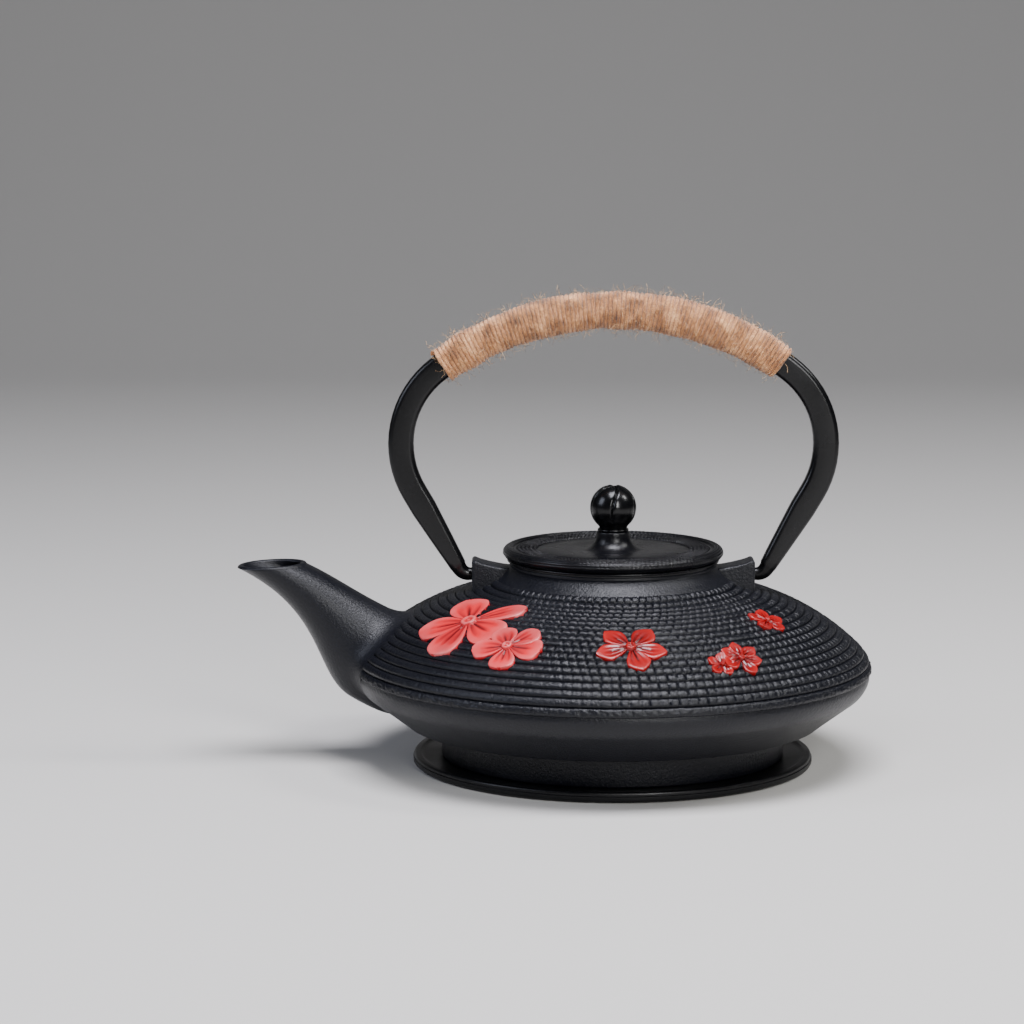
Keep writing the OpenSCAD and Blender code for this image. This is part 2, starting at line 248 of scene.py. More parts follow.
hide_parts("trivet")

# ---------------------------------------------------------------------------------------
# Bowl. The pot is one casting of iron in sand: a flat bowl on a foot, with a neck that has
# a rebate for the tea basket. The outside is painted black; the real inside is enamelled, but here
# it takes the same black painted iron.
# ---------------------------------------------------------------------------------------

belly_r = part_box("pot_body")[1].x / MM
neck_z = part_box("infuser_rim")[1].z / MM + 0.2
belly_z = foot_z + 30
wall = 3
belly_round = 10
shoulder_round = 78
flare_round = 20
neck_r = 36
mouth_r = 32
rebate_r = 34
rebate_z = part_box("infuser_rim")[1].z / MM - 1.0
edge_r = belly_r - 17
foot_r = edge_r - 13
foot_top_z = 12.6
foot_fillet = 1.6
flare_out = 21.45
flare_end_r = 49
shoulder_end_r = 87
groove_depth = 0.55
groove_from_r, groove_from_z = 40.5, 31.5

belly_c = (belly_r - belly_round, belly_z)
shoulder_c = tuple(c - (shoulder_round - belly_round) * math.sqrt(0.5) for c in belly_c)
# The neck's flare touches the shoulder's arc and reaches the neck's radius at its top
flare_lean = math.degrees(math.acos(flare_out / (shoulder_round + flare_round)))
flare_c = (shoulder_c[0] + flare_out,
           shoulder_c[1] + (shoulder_round + flare_round) * math.sin(math.radians(flare_lean)))


def shoulder_outline(sink):
    """The outside from the belly's underside up to the neck, sunk by a depth in mm."""
    return (arc(*belly_c, belly_round - sink, -58, 45, 16)
            + arc(*shoulder_c, shoulder_round - sink, 45, flare_lean, 20)[1:]
            + arc(*flare_c, flare_round + sink, 180 + flare_lean, 210, 14)[1:])


neck_line = [p for p in shoulder_outline(0) if p[1] < neck_z - 1.2 and p[0] > neck_r]
# Under the ridges the bowl's own skin lies as deep as their grooves
base_line = []
for r, z in neck_line:
    sink = groove_depth * (max(0, min(1, (r - groove_from_r) / 2))
                           * max(0, min(1, (z - groove_from_z) / 1.5)))
    on_flare = r < flare_end_r
    centre = flare_c if on_flare else shoulder_c if r < shoulder_end_r else belly_c
    out = np.array([r, z]) - np.array(centre)
    out = out / np.linalg.norm(out) * (-1 if on_flare else 1)
    base_line.append((r - out[0] * sink, z - out[1] * sink))

# The step between the foot's fillet and the belly's underside
edge_line = [(edge_r - 2.0, 15.0)] + arc(edge_r - 0.9, 16.4, 1.5, -75, -32, 4)
bowl_outline = (
    [(0, foot_z + 1.5), (foot_r - 7, foot_z + 1.5), (foot_r - 6, foot_z + 1), (foot_r - 6, foot_z)]
    + arc(foot_r - 0.8, foot_z + 0.8, 0.8, -90, 0, 4)
    + [(foot_r, foot_top_z)] + arc(foot_r + foot_fillet, foot_top_z, foot_fillet, 180, 90, 5)
    + edge_line + base_line
    + [(neck_r, neck_z - 1.0)]
    + arc(neck_r - 0.5, neck_z - 0.5, 0.5, 0, 90, 4)
    + [(rebate_r, neck_z), (rebate_r, rebate_z),
       (mouth_r + 0.4, rebate_z), (mouth_r, rebate_z - 0.4)]
    + arc(mouth_r + 2.2, 61.0, 2.2, 180, 262, 6)
    + arc(*shoulder_c, shoulder_round - wall, 87, 45, 14)
    + arc(*belly_c, belly_round - wall, 45, -58, 12)
    + [(edge_r - 1.6, 19.3), (foot_r + 1, 17.4)] + arc(foot_r - wall - 4, 11.5, 4, 45, -88, 8)
    + [(0, 7.5)])
# Sand cast and painted: a faint blue-black with a coarse grain that breaks up the light
iron = cast_iron("black painted cast iron, pot", "#08090f", 0.37, 0.55, 0.15)
bowl = finish_mesh("pot_bowl", turned("pot_bowl", bowl_outline, 256), iron, "pot")

# ---------------------------------------------------------------------------------------
# Shoulder. Rings of ridges are cast round the shoulder like overlapping steps. Away from
# the spout they are cut into small staggered bricks, and near it they run on unbroken.
# ---------------------------------------------------------------------------------------

ring_pitch = 3.21
ring_first_r = 39.6


def new_growth(name, inputs):
    """A Geometry Nodes tree with named inputs, and its group input and output nodes."""
    tree = bpy.data.node_groups.new(name, "GeometryNodeTree")
    tree.interface.new_socket("Geometry", in_out="INPUT", socket_type="NodeSocketGeometry")
    tree.interface.new_socket("Geometry", in_out="OUTPUT", socket_type="NodeSocketGeometry")
    for label, value in inputs.items():
        kind = ("NodeSocketMaterial" if value is None else
                "NodeSocketInt" if isinstance(value, int) else "NodeSocketFloat")
        socket = tree.interface.new_socket(label, in_out="INPUT", socket_type=kind)
        if value is not None:
            socket.default_value = value
    return tree, add(tree, "NodeGroupInput").outputs


def grown(name, seed_object, tree, values):
    """Runs a tree on an object and returns the plain mesh that it makes."""
    modifier = seed_object.modifiers.new("growth", "NODES")
    modifier.node_group = tree
    for item in tree.interface.items_tree:
        if item.in_out == "INPUT" and item.name in values:
            modifier[item.identifier] = values[item.name]
    graph = bpy.context.evaluated_depsgraph_get()
    graph.update()
    mesh = bpy.data.meshes.new_from_object(seed_object.evaluated_get(graph), depsgraph=graph)
    mesh.name = name
    seed_object.modifiers.remove(modifier)
    return mesh


def path_object(name, points):
    """A curve through points in mm, for a tree to grow along."""
    data = bpy.data.curves.new(name, "CURVE")
    data.dimensions = "3D"
    line = data.splines.new("POLY")
    line.points.add(len(points) - 1)
    for knot, p in zip(line.points, points):
        knot.co = (p[0] * MM, p[1] * MM, p[2] * MM, 1)
    holder = bpy.data.objects.new(name, data)
    bpy.context.scene.collection.objects.link(holder)
    return holder


relief, given = new_growth("rings of cast ridges and bricks", {
    "First ring": 0, "Rings": 10, "Rows": 8, "Columns": 900, "Pitch": ring_pitch * MM,
    "Ridge height": 0.9 * MM, "Brick length": 2.5 * MM, "Growth": 0.02, "Joint": 0.16,
    "Joint depth": 0.8, "Plain angle": 0.55, "Plain rings": 99, "Spout half width": 21 * MM,
    "Spout top": 36 * MM, "Spout bottom": 62 * MM, "Grain": 0.9 * MM, "Grain depth": 0.22 * MM,
    "Wander": 0.35 * MM, "Back": 1.0 * MM, "Material": None})
cast = functools.partial(add, relief)
# The grid runs from the first ring to the last, and three more rows close it underneath
steps = cast("MULTIPLY", [given["Rings"], given["Rows"]])
grid_rows = cast("ADD", [steps, 4.0])
grid_size = cast("ADD", [steps, 3.0])
grid_cols = cast("ADD", [given["Columns"], 1.0])
grid = cast("GeometryNodeMeshGrid", {"Size X": grid_size, "Size Y": given["Columns"],
                                     "Vertices X": grid_rows, "Vertices Y": grid_cols})
flat = cast("ShaderNodeSeparateXYZ", [cast("GeometryNodeInputPosition")])
row = cast("ROUND", [cast("MULTIPLY_ADD", [grid_size, 0.5, flat.outputs[0]])])
turn = cast("ADD", [cast("DIVIDE", [flat.outputs[1], given["Columns"]]), 0.5])
angle = cast("MULTIPLY", [turn, 2 * math.pi])
angle_cos = cast("COSINE", [angle])
angle_sin = cast("SINE", [angle])
past = cast("SUBTRACT", [row, steps])
last_row = cast("GREATER_THAN", [past, 2.5])
past_end = cast("GREATER_THAN", [past, 1.5])
before = cast("LESS_THAN", [row, 0.5])
hidden = cast("MAXIMUM", [past_end, before])
step = cast("MAXIMUM", [cast("SUBTRACT", [row, 1.0]), 0.0])
step = cast("MINIMUM", [step, steps])
step = cast("MULTIPLY", [step, cast("SUBTRACT", [1.0, last_row])])
ring = cast("ADD", [cast("DIVIDE", [step, given["Rows"]]), given["First ring"]])
ring_no = cast("FLOOR", [cast("ADD", [ring, 0.0001])])
within = cast("SUBTRACT", [ring, ring_no])
along = cast("MULTIPLY", [ring, given["Pitch"]])
spot = cast("GeometryNodeSampleCurve", {"Curves": given["Geometry"], "Length": along},
            mode="LENGTH")
spot_at = cast("ShaderNodeSeparateXYZ", [spot.outputs["Position"]])
spot_way = cast("ShaderNodeSeparateXYZ", [spot.outputs["Tangent"]])
middle = cast("MULTIPLY", [cast("ADD", [ring_no, 0.5]), given["Pitch"]])
ring_spot = cast("GeometryNodeSampleCurve", {"Curves": given["Geometry"], "Length": middle},
                 mode="LENGTH")
ring_r = cast("ShaderNodeSeparateXYZ", [ring_spot.outputs["Position"]])
# The ridge's section: a quick rise, a worn crest and a deep step down to the next ring
section = cast("ShaderNodeFloatCurve", {"Value": within})
shape = section.mapping.curves[0]
shape.points[0].location = (0, 0)
shape.points[1].location = (1, 0)
for at, crest in ((0.10, 0.62), (0.28, 0.93), (0.52, 1.0), (0.74, 0.94), (0.88, 0.66),
                  (0.95, 0.15)):
    shape.points.new(at, crest)
section.mapping.update()
# Bricks: a whole number of them on each ring, and every other ring shifted by half a brick
ring_l = cast("MULTIPLY", [ring_r.outputs[0], 2 * math.pi])
growing = cast("MULTIPLY_ADD", [ring_no, given["Growth"], 1.0])
brick_l = cast("MULTIPLY", [given["Brick length"], growing])
bricks = cast("ROUND", [cast("DIVIDE", [ring_l, brick_l])])
wave = cast("ShaderNodeCombineXYZ", [angle_cos, angle_sin, cast("MULTIPLY", [along, 40.0])])
wander = cast("ShaderNodeTexNoise", {"Vector": wave, "Scale": 26.0, "Detail": 2.0})
drift = cast("MULTIPLY", [given["Wander"], 700.0])
shift = cast("MULTIPLY", [cast("SUBTRACT", [wander, 0.5]), drift])
count = cast("MULTIPLY_ADD", [turn, bricks, cast("MULTIPLY_ADD", [ring_no, 0.5, shift])])
place_in = cast("FRACT", [count])
off_middle = cast("ABSOLUTE", [cast("SUBTRACT", [place_in, 0.5])])
to_joint = cast("SUBTRACT", [0.5, off_middle])
joint = cast("ShaderNodeMapRange", [to_joint, 0.0, given["Joint"], 1.0, 0.0],
             interpolation_type="SMOOTHSTEP")
# Near the spout the bricks run together, and the ridges end at the spout's root
from_spout = cast("ABSOLUTE", [cast("SUBTRACT", [angle, math.pi])])
plain_low = cast("MULTIPLY_ADD", [ring, 0.047, given["Plain angle"]])
plain_high = cast("ADD", [plain_low, 0.4])
bricked = cast("ShaderNodeMapRange", [from_spout, plain_low, plain_high, 0.12, 1.0],
               interpolation_type="SMOOTHSTEP")
plain = cast("GREATER_THAN", [ring_no, given["Plain rings"]])
bricked = cast("MULTIPLY", [bricked, cast("SUBTRACT", [1.0, plain])])
arm = cast("MULTIPLY", [from_spout, spot_at.outputs[0]])
arm = cast("DIVIDE", [arm, given["Spout half width"]])
reach = cast("DIVIDE", [cast("SUBTRACT", [given["Spout bottom"], along]),
                        cast("SUBTRACT", [given["Spout bottom"], given["Spout top"]])])
reach = cast("MAXIMUM", [reach, 0.0])
from_root = cast("ADD", [cast("POWER", [arm, 2.0]), cast("POWER", [reach, 2.0])])
clear = cast("ShaderNodeMapRange", [from_root, 0.94, 1.12, 0.0, 1.0],
             interpolation_type="SMOOTHSTEP")
cut = cast("MULTIPLY", [cast("MULTIPLY", [joint, bricked]), given["Joint depth"]])
keep = cast("SUBTRACT", [1.0, cut])
rise = cast("MULTIPLY", [cast("MULTIPLY", [section, keep]), clear])
ground = cast("ShaderNodeCombineXYZ", [cast("MULTIPLY", [angle_cos, spot_at.outputs[0]]),
                                       cast("MULTIPLY", [angle_sin, spot_at.outputs[0]]),
                                       spot_at.outputs[2]])
grain_scale = cast("DIVIDE", [1.0, given["Grain"]])
grain = cast("ShaderNodeTexNoise", {"Vector": ground, "Scale": grain_scale, "Detail": 2.0,
                                    "Roughness": 0.6})
rough = cast("MULTIPLY", [cast("SUBTRACT", [grain, 0.5]), given["Grain depth"]])
rough = cast("MULTIPLY", [rough, cast("MULTIPLY", [section, clear])])
rough = cast("MULTIPLY", [rough, cast("MULTIPLY_ADD", [plain, 2.2, 1.0])])
height = cast("MULTIPLY_ADD", [rise, given["Ridge height"], rough])
height = cast("MULTIPLY", [height, cast("SUBTRACT", [1.0, hidden])])
height = cast("SUBTRACT", [height, cast("MULTIPLY", [hidden, given["Back"]])])
out_r = cast("MULTIPLY_ADD", [cast("MULTIPLY", [spot_way.outputs[2], -1.0]), height,
                              spot_at.outputs[0]])
out_z = cast("MULTIPLY_ADD", [spot_way.outputs[0], height, spot_at.outputs[2]])
final = cast("ShaderNodeCombineXYZ", [cast("MULTIPLY", [angle_cos, out_r]),
                                      cast("MULTIPLY", [angle_sin, out_r]), out_z])
bent = cast("GeometryNodeSetPosition", {"Geometry": grid, "Position": final})
joined = cast("GeometryNodeMergeByDistance", {"Geometry": bent, "Distance": 1e-6})
solid = cast("GeometryNodeRealizeInstances", {"Geometry": joined})
clad = cast("GeometryNodeSetMaterial", {"Geometry": solid, "Material": given["Material"]})
cast("NodeGroupOutput", [clad])

ridge_path = path_object("ridge_path", [
    (r, 0, z) for r, z in reversed(shoulder_outline(groove_depth))
    if r > ring_first_r and (r < belly_r - 2 or z > belly_z - 4)])
upper_columns, lower_columns = ((760, 1080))
bands = (("pot_shoulder_upper", 0, 10, upper_columns), ("pot_shoulder_lower", 10, 9, lower_columns))
for name, first, rings, around in bands:
    band = grown(name, ridge_path, relief, {
        "First ring": first, "Rings": rings, "Rows": 9, "Columns": around,
        "Pitch": ring_pitch * MM, "Ridge height": 1.0 * MM, "Brick length": 2.5 * MM,
        "Growth": 0.018, "Joint": 0.13, "Joint depth": 0.75, "Plain angle": 0.5,
        "Plain rings": 17, "Spout half width": 21 * MM, "Spout top": 36 * MM,
        "Spout bottom": 62 * MM, "Grain": 0.8 * MM, "Grain depth": 0.55 * MM,
        "Wander": 0.35 * MM, "Back": 1.2 * MM, "Material": iron})
    finish_mesh(name, band, iron, "pot", crease=80)

# ---------------------------------------------------------------------------------------
# Spout. It is cast in one with the bowl: an oval tube that leaves the belly over its full
# height, sweeps up and opens level with the neck. A soft fillet runs round its root.
# ---------------------------------------------------------------------------------------

spout_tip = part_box("pot_body")[0].x / MM
lip_z = neck_z - 0.9
mouth_l = 24.2
mouth_w = 21
root_w = 34
lip_wall = 2.1


def bezier(points, t):
    """The place at t, from 0 to 1, on a curve that four points steer."""
    p = np.array(points, float)
    t = np.asarray(t, float)[..., None]
    return ((1 - t) ** 3 * p[0] + 3 * (1 - t) ** 2 * t * p[1]
            + 3 * (1 - t) * t ** 2 * p[2] + t ** 3 * p[3])


back_x = spout_tip + mouth_l
spout_top = [(-belly_r + 20, lip_z - 19.3), (back_x + 20.9, lip_z - 13),
             (back_x + 12.2, lip_z - 5.5), (back_x, lip_z + 0.2)]
spout_under = [(-belly_r - 2.1, foot_z + 20.1), (spout_tip + 26.1, foot_z + 27.7),
               (spout_tip + 31.1, lip_z - 16.1), (spout_tip, lip_z - 1)]


def spout_ring(t, shrink, sides=72):
    """An oval ring of the spout at t, from its root (below 0) to its mouth (1)."""
    inside = max(0.0, -t)
    top = bezier(spout_top, max(t, 0)) + inside * np.array([38, -16])
    under = bezier(spout_under, max(t, 0)) + [58 * inside, -7.2 * math.sin(min(math.pi / 2,
                                                                             4.5 * inside))]
    middle, half = (top + under) / 2, (top - under) / 2
    length = np.linalg.norm(half)
    way = half / length
    width = (mouth_w + (root_w - mouth_w) * (1 - max(t, 0)) ** 2) / 2 + 5 * inside
    angles = np.linspace(0, 2 * math.pi, sides, endpoint=False)
    u = (length - shrink) * np.cos(angles)
    v = (width - shrink) * np.sin(angles)
    return np.stack([middle[0] + way[0] * u, v, middle[1] + way[1] * u], axis=1)


skin = np.array([(foot_r + foot_fillet, foot_top_z + foot_fillet)] + edge_line + neck_line)


def bowl_foot(p):
    """The nearest point on the bowl's outside to a point, and its height over it, in mm."""
    r = math.hypot(p[0], p[1])
    a, b = skin[:-1], skin[1:]
    d = b - a
    t = np.clip(((np.array([r, p[2]]) - a) * d).sum(1) / (d * d).sum(1), 0, 1)
    near = a + t[:, None] * d
    gap = np.linalg.norm(near - [r, p[2]], axis=1)
    i = int(gap.argmin())
    side = d[i][0] * (p[2] - near[i][1]) - d[i][1] * (r - near[i][0])
    at = np.array([p[0] / r * near[i][0], p[1] / r * near[i][0], near[i][1]])
    return at, gap[i] if side < 0 else -gap[i]


fillet = 6.5
stations = np.linspace(-0.45, 1, 88)
body_rings = np.array([spout_ring(t, 0) for t in stations])
# The bend where the underside turns in to the bowl is rounded off
for _ in range(5):
    body_rings[1:-3] += (body_rings[:-4] + body_rings[2:-2] - 2 * body_rings[1:-3]) / 4
count = body_rings.shape[1]
blend_rows = 12
outer_columns = []
for j in range(count):
    line = body_rings[:, j]
    heights = [bowl_foot(p)[1] for p in line]
    k = max(i for i, h in enumerate(heights) if h < 0)
    share = -heights[k] / (heights[k + 1] - heights[k])
    meet = line[k] + (line[k + 1] - line[k]) * share
    span = np.concatenate([[0], np.cumsum(np.linalg.norm(np.diff(line[k + 1:], axis=0), axis=1))])
    span += np.linalg.norm(line[k + 1] - meet)
    axis_point = body_rings[k].mean(axis=0)
    away = meet - axis_point
    corner = bowl_foot(meet)[0]
    spread = bowl_foot(corner + away / np.linalg.norm(away) * fillet)[0]
    start = np.array([np.interp(fillet, span, line[k + 1:, c]) for c in range(3)])
    curve = [(1 - t) ** 2 * spread + 2 * (1 - t) * t * corner + t ** 2 * start
             for t in np.linspace(0, 1, blend_rows)]
    rest = np.linspace(fillet, span[-1], 40)[1:]
    body = [np.array([np.interp(s, span, line[k + 1:, c]) for c in range(3)]) for s in rest]
    outward = curve[0] - np.array([0, 0, belly_z])
    sunk = curve[0] - outward / np.linalg.norm(outward) * 1.6
    outer_columns.append([sunk] + curve + body)
outer = np.array(outer_columns).transpose(1, 0, 2)
lip = []
for turn_deg in (30, 60, 90, 120, 150):
    a = math.radians(turn_deg)
    ring_points = spout_ring(1, lip_wall / 2 * (1 - math.cos(a)))
    ring_points[:, 2] += lip_wall / 2 * math.sin(a) * 0.8
    lip.append(ring_points)
inner = [spout_ring(t, lip_wall) for t in np.linspace(1, 0.02, 26)]
rows = list(outer) + lip + inner
finish_mesh("pot_spout", shell_mesh("pot_spout", rows, poles=(True, True)), iron,
            "pot", crease=60)

# ---------------------------------------------------------------------------------------
# Lugs. Two fins are cast with the neck and the shoulder, one over each end of the bail.
# Each has an upright outer face with a hole for the hook, and a top that sweeps inwards.
# ---------------------------------------------------------------------------------------

lug_x = 49.3
lug_in_x = 35.2
lug_low_z = 56.5
lug_half = 6
lug_top_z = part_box("pot_body")[1].z / MM
pivot = next(j for j in frame["joints"] if j["name"] == "bail_swing")["pos_m"][2] / MM
hole_r = 2.4
hole_l = 8.4

lug_profile = ([(lug_x, lug_low_z), (lug_x, lug_top_z - 1.6)]
               + arc(lug_x - 1.0, lug_top_z - 1.0, 1.0, 0, 120, 5)
               + [(46.4, 71.15), (44.0, 70.5), (41.2, 69.85), (38.2, 69.3), (lug_in_x, 69.0),
                  (lug_in_x, lug_low_z)])
lug_round = 0.9
for side, tag in ((-1, "spout_side"), (1, "far_side")):
    rows = []
    for turn_deg in list(range(-90, 1, 15)) + list(range(0, 91, 15)):
        a = math.radians(turn_deg)
        y = (lug_half - lug_round) * (1 if turn_deg > 0 or len(rows) > 6 else -1)
        y += lug_round * math.sin(a)
        sink = lug_round * (1 - math.cos(a))
        rows.append([(side * (x - sink * max(0, min(1, (x - 44) / 4))), y,
                      z - sink * max(0, min(1, (z - 62) / 4))) for x, z in lug_profile])
    data = shell_mesh("lug", rows, poles=(True, True))
    lug = finish_mesh(f"pot_lug_{tag}", data, iron, "pot", crease=30)
    bpy.ops.mesh.primitive_cylinder_add(vertices=40, radius=hole_r * MM, depth=2 * hole_l * MM,
                                        location=(side * lug_x * MM, 0, pivot * MM),
                                        rotation=(0, math.pi / 2, 0))
    drill = bpy.context.object
    bore = lug.modifiers.new("bore", "BOOLEAN")
    bore.operation = "DIFFERENCE"
    bore.object = drill
    graph = bpy.context.evaluated_depsgraph_get()
    graph.update()
    drilled = bpy.data.meshes.new_from_object(lug.evaluated_get(graph), depsgraph=graph)
    lug.modifiers.remove(bore)
    lug.data = drilled
    bpy.data.objects.remove(drill)
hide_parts("pot_body")

# ---------------------------------------------------------------------------------------
# Flowers. Blossoms stand in low relief on the shoulder, and are enamelled by hand: coral at
# the left, deep red at the right. Each has five cupped petals with veins and a round heart.
# ---------------------------------------------------------------------------------------


def enamel(name, colour, light_colour, hollow_shade_colour, gloss):
    """Hand painted enamel: lighter where it was wiped off the crests, with painted shade in the
    veins.
    """
    material, tree, shader, place = new_material(name)
    wear = add(tree, "ShaderNodeTexNoise", {"Vector": place, "Scale": 0.16 / MM,
                                            "Detail": 5, "Roughness": 0.6})
    specks = add(tree, "ShaderNodeTexNoise", {"Vector": place, "Scale": 1.1 / MM, "Detail": 2})
    level = add(tree, "ShaderNodeAttribute", attribute_name="relief").outputs["Fac"]
    high = add(tree, "ShaderNodeMapRange", {"Value": level, "From Min": 0.46, "From Max": 0.88,
                                            "To Min": 0.0, "To Max": 0.75})
    crest = add(tree, "MULTIPLY", [high, wear])
    # Painted shade: where the relief level is low, in the veins, the hollows and the buried rim,
    # the colour is darkened towards the shade colour
    painted_hollow_shade = add(tree, "ShaderNodeMapRange", {"Value": level, "From Min": 0.42, "From Max": 0.12,
                                           "To Min": 0.0, "To Max": 1.0})
    pooled = add(tree, "ShaderNodeTexNoise", {"Vector": place, "Scale": 0.075 / MM, "Detail": 2})
    pool = add(tree, "ShaderNodeMapRange", {"Value": pooled, "From Min": 0.42, "From Max": 0.62,
                                            "To Min": 0.0, "To Max": 0.75})
    thick = [c * 0.55 for c in linear(colour)[:3]] + [1]
    coat = add(tree, "ShaderNodeMix", {"Factor": pool, 6: linear(colour), 7: thick},
               data_type="RGBA")
    first = add(tree, "ShaderNodeMix", {"Factor": crest, 6: coat.outputs[2],
                                        7: linear(light_colour)}, data_type="RGBA")
    second = add(tree, "ShaderNodeMix", {"Factor": painted_hollow_shade, 6: first.outputs[2],
                                         7: linear(hollow_shade_colour)}, data_type="RGBA")
    tree.links.new(second.outputs[2], shader.inputs["Base Color"])
    bump = add(tree, "ShaderNodeBump", {"Height": specks, "Strength": 0.35, "Distance": 0.05 * MM})
    tree.links.new(bump.outputs[0], shader.inputs["Normal"])
    shader.inputs["Roughness"].default_value = gloss
    shader.inputs["Specular IOR Level"].default_value = 0.4
    shader.inputs["Coat Weight"].default_value = 0.12
    shader.inputs["Coat Roughness"].default_value = 0.3
    return material


def petal_width(v, blunt):
    """How wide a petal is at v from its root (0) to its tip (1), as a share of its width."""
    if v < 0.64:
        return 0.14 + 0.86 * math.sin(math.pi / 2 * v / 0.64) ** 1.2
    return (1 - ((v - 0.64) / 0.36) ** (1.35 + 2.4 * blunt)) ** (0.8 - 0.3 * blunt)


def draped(point, seat, down, across, normal, height):
    """A point of a flower's plane (mm) laid on the shoulder, at a height over it."""
    foot, _ = bowl_foot(seat + down * point[0] + across * point[1])
    return foot + normal * height


def flower(name, inset, azimuth, petals, relief_height, material, lift=0.0):
    """Petals are (angle, length, width, blunt); angles are from straight down the shoulder."""
    azimuth = math.radians(azimuth)
    r = belly_r - inset
    slope = math.asin((r - shoulder_c[0]) / shoulder_round)
    z = shoulder_c[1] + shoulder_round * math.cos(slope)
    seat = np.array([r * math.cos(azimuth), r * math.sin(azimuth), z])
    down = np.array([math.cos(azimuth) * math.cos(slope), math.sin(azimuth) * math.cos(slope),
                     -math.sin(slope)])
    across = np.array([-math.sin(azimuth), math.cos(azimuth), 0])
    normal = np.cross(down, across)
    mesh = bmesh.new()
    relief_layer = mesh.verts.layers.float.new("relief")
    along_n, over_n = 26, 24
    buried = -0.9

    def patch(points):
        """points[i][j] = (x, y, height, relief); the last ring of points is the border."""
        top = [[None] * len(points[0]) for _ in points]
        for i, line in enumerate(points):
            for j, (x, y, h, level) in enumerate(line):
                at = draped((x, y), seat, down, across, normal, h + lift)
                top[i][j] = mesh.verts.new(Vector(at) * MM)
                top[i][j][relief_layer] = level
        for i in range(len(top) - 1):
            for j in range(len(top[0]) - 1):
                mesh.faces.new((top[i][j], top[i + 1][j], top[i + 1][j + 1], top[i][j + 1]))

    for number, (turn_deg, length, width, blunt) in enumerate(petals):
        a = math.radians(turn_deg)
        tilt = 0.12 * math.sin(number * 2.4 + 0.6)
        for face in ("top", "bottom"):
            lines = []
            for i in range(along_n + 1):
                v = 1 - (1 - i / along_n) ** 1.5
                half = width / 2 * petal_width(v, blunt)
                line = []
                for j in range(over_n + 1):
                    u = math.sin(math.pi / 2 * math.sin(math.pi / 2 * (2 * j / over_n - 1)))
                    notch = 0.05 * length * max(0, blunt - 0.5)
                    notch *= math.cos(3 * math.pi * u) * v ** 6
                    x = 0.06 * length + v * (length * 0.94) + notch
                    y = u * half
                    wall_up = 0.0 if abs(u) > 0.9999 or v in (0, 1) else 1 - 0.5 * abs(u) ** 9
                    fade = max(0.0, min(1.0, (0.78 - v) / 0.25))
                    veins = sum(math.exp(-((u - g) / 0.10) ** 2) for g in (-0.5, 0, 0.5)) * fade
                    hollow = 0.16 * (1 - u * u) * math.sin(math.pi * min(1, v * 1.1))
                    crown = 0.62 + 0.36 * v + tilt * u - hollow
                    h = relief_height * (wall_up ** 0.5 * crown - 0.26 * veins * wall_up)
                    # The level is lowest in the veins and at the buried rim, so the enamel paints
                    # shade there; it is highest on the crests and tips
                    level = 0.30 + 0.38 * v + 0.2 * abs(u) ** 3 - 0.34 * veins + 0.5 * tilt * u
                    if wall_up <= 1e-6 or face == "bottom":
                        h = buried
                        level = 0.1 if face == "top" else 0.0
                    line.append((x * math.cos(a) - y * math.sin(a),
                                 x * math.sin(a) + y * math.cos(a), h, level))
                lines.append(line if face == "top" else line[::-1])
            patch(lines)
    heart_r = 0.17 * max(p[1] for p in petals)
    rings, around = 7, 28
    for face in ("top", "bottom"):
        lines = []
        for i in range(rings + 1):
            s = i / rings
            line = []
            for j in range(around + 1):
                b = 2 * math.pi * (j % around) / around
                ring_up = math.exp(-((s - 0.62) / 0.22) ** 2) + 0.8 * math.exp(-(s / 0.22) ** 2)
                h = relief_height * (0.8 + 0.5 * ring_up + 0.06 * math.cos(7 * b) * s)
                if i == rings or face == "bottom":
                    h = buried
                # The heart's level is low between its boss and its ring, where the enamel paints
                # shade
                line.append((heart_r * s * math.cos(b), heart_r * s * math.sin(b), h,
                             0.25 + 0.6 * ring_up))
            lines.append(line if face == "top" else line[::-1])
        patch(lines)
    bmesh.ops.remove_doubles(mesh, verts=mesh.verts, dist=2e-6)
    bmesh.ops.dissolve_degenerate(mesh, edges=mesh.edges, dist=1e-6)
    bmesh.ops.recalc_face_normals(mesh, faces=mesh.faces)
    data = bpy.data.meshes.new(name)
    mesh.to_mesh(data)
    mesh.free()
    return finish_mesh(name, data, material, "pot", crease=50)


# Opaque and half matt: a warm pink-red, pale on the petals' rims, with painted shade that darkens
# their veins
coral = enamel("coral enamel, hand painted", "#c81a24", "#f08c8a", "#470508", 0.42)
# The same over a dark ground, and glossier: a deep red, with painted shade that turns it nearly
# black in the hollows
deep_red = enamel("deep red enamel, hand painted", "#8a0206", "#c3302c", "#1e0102", 0.26)

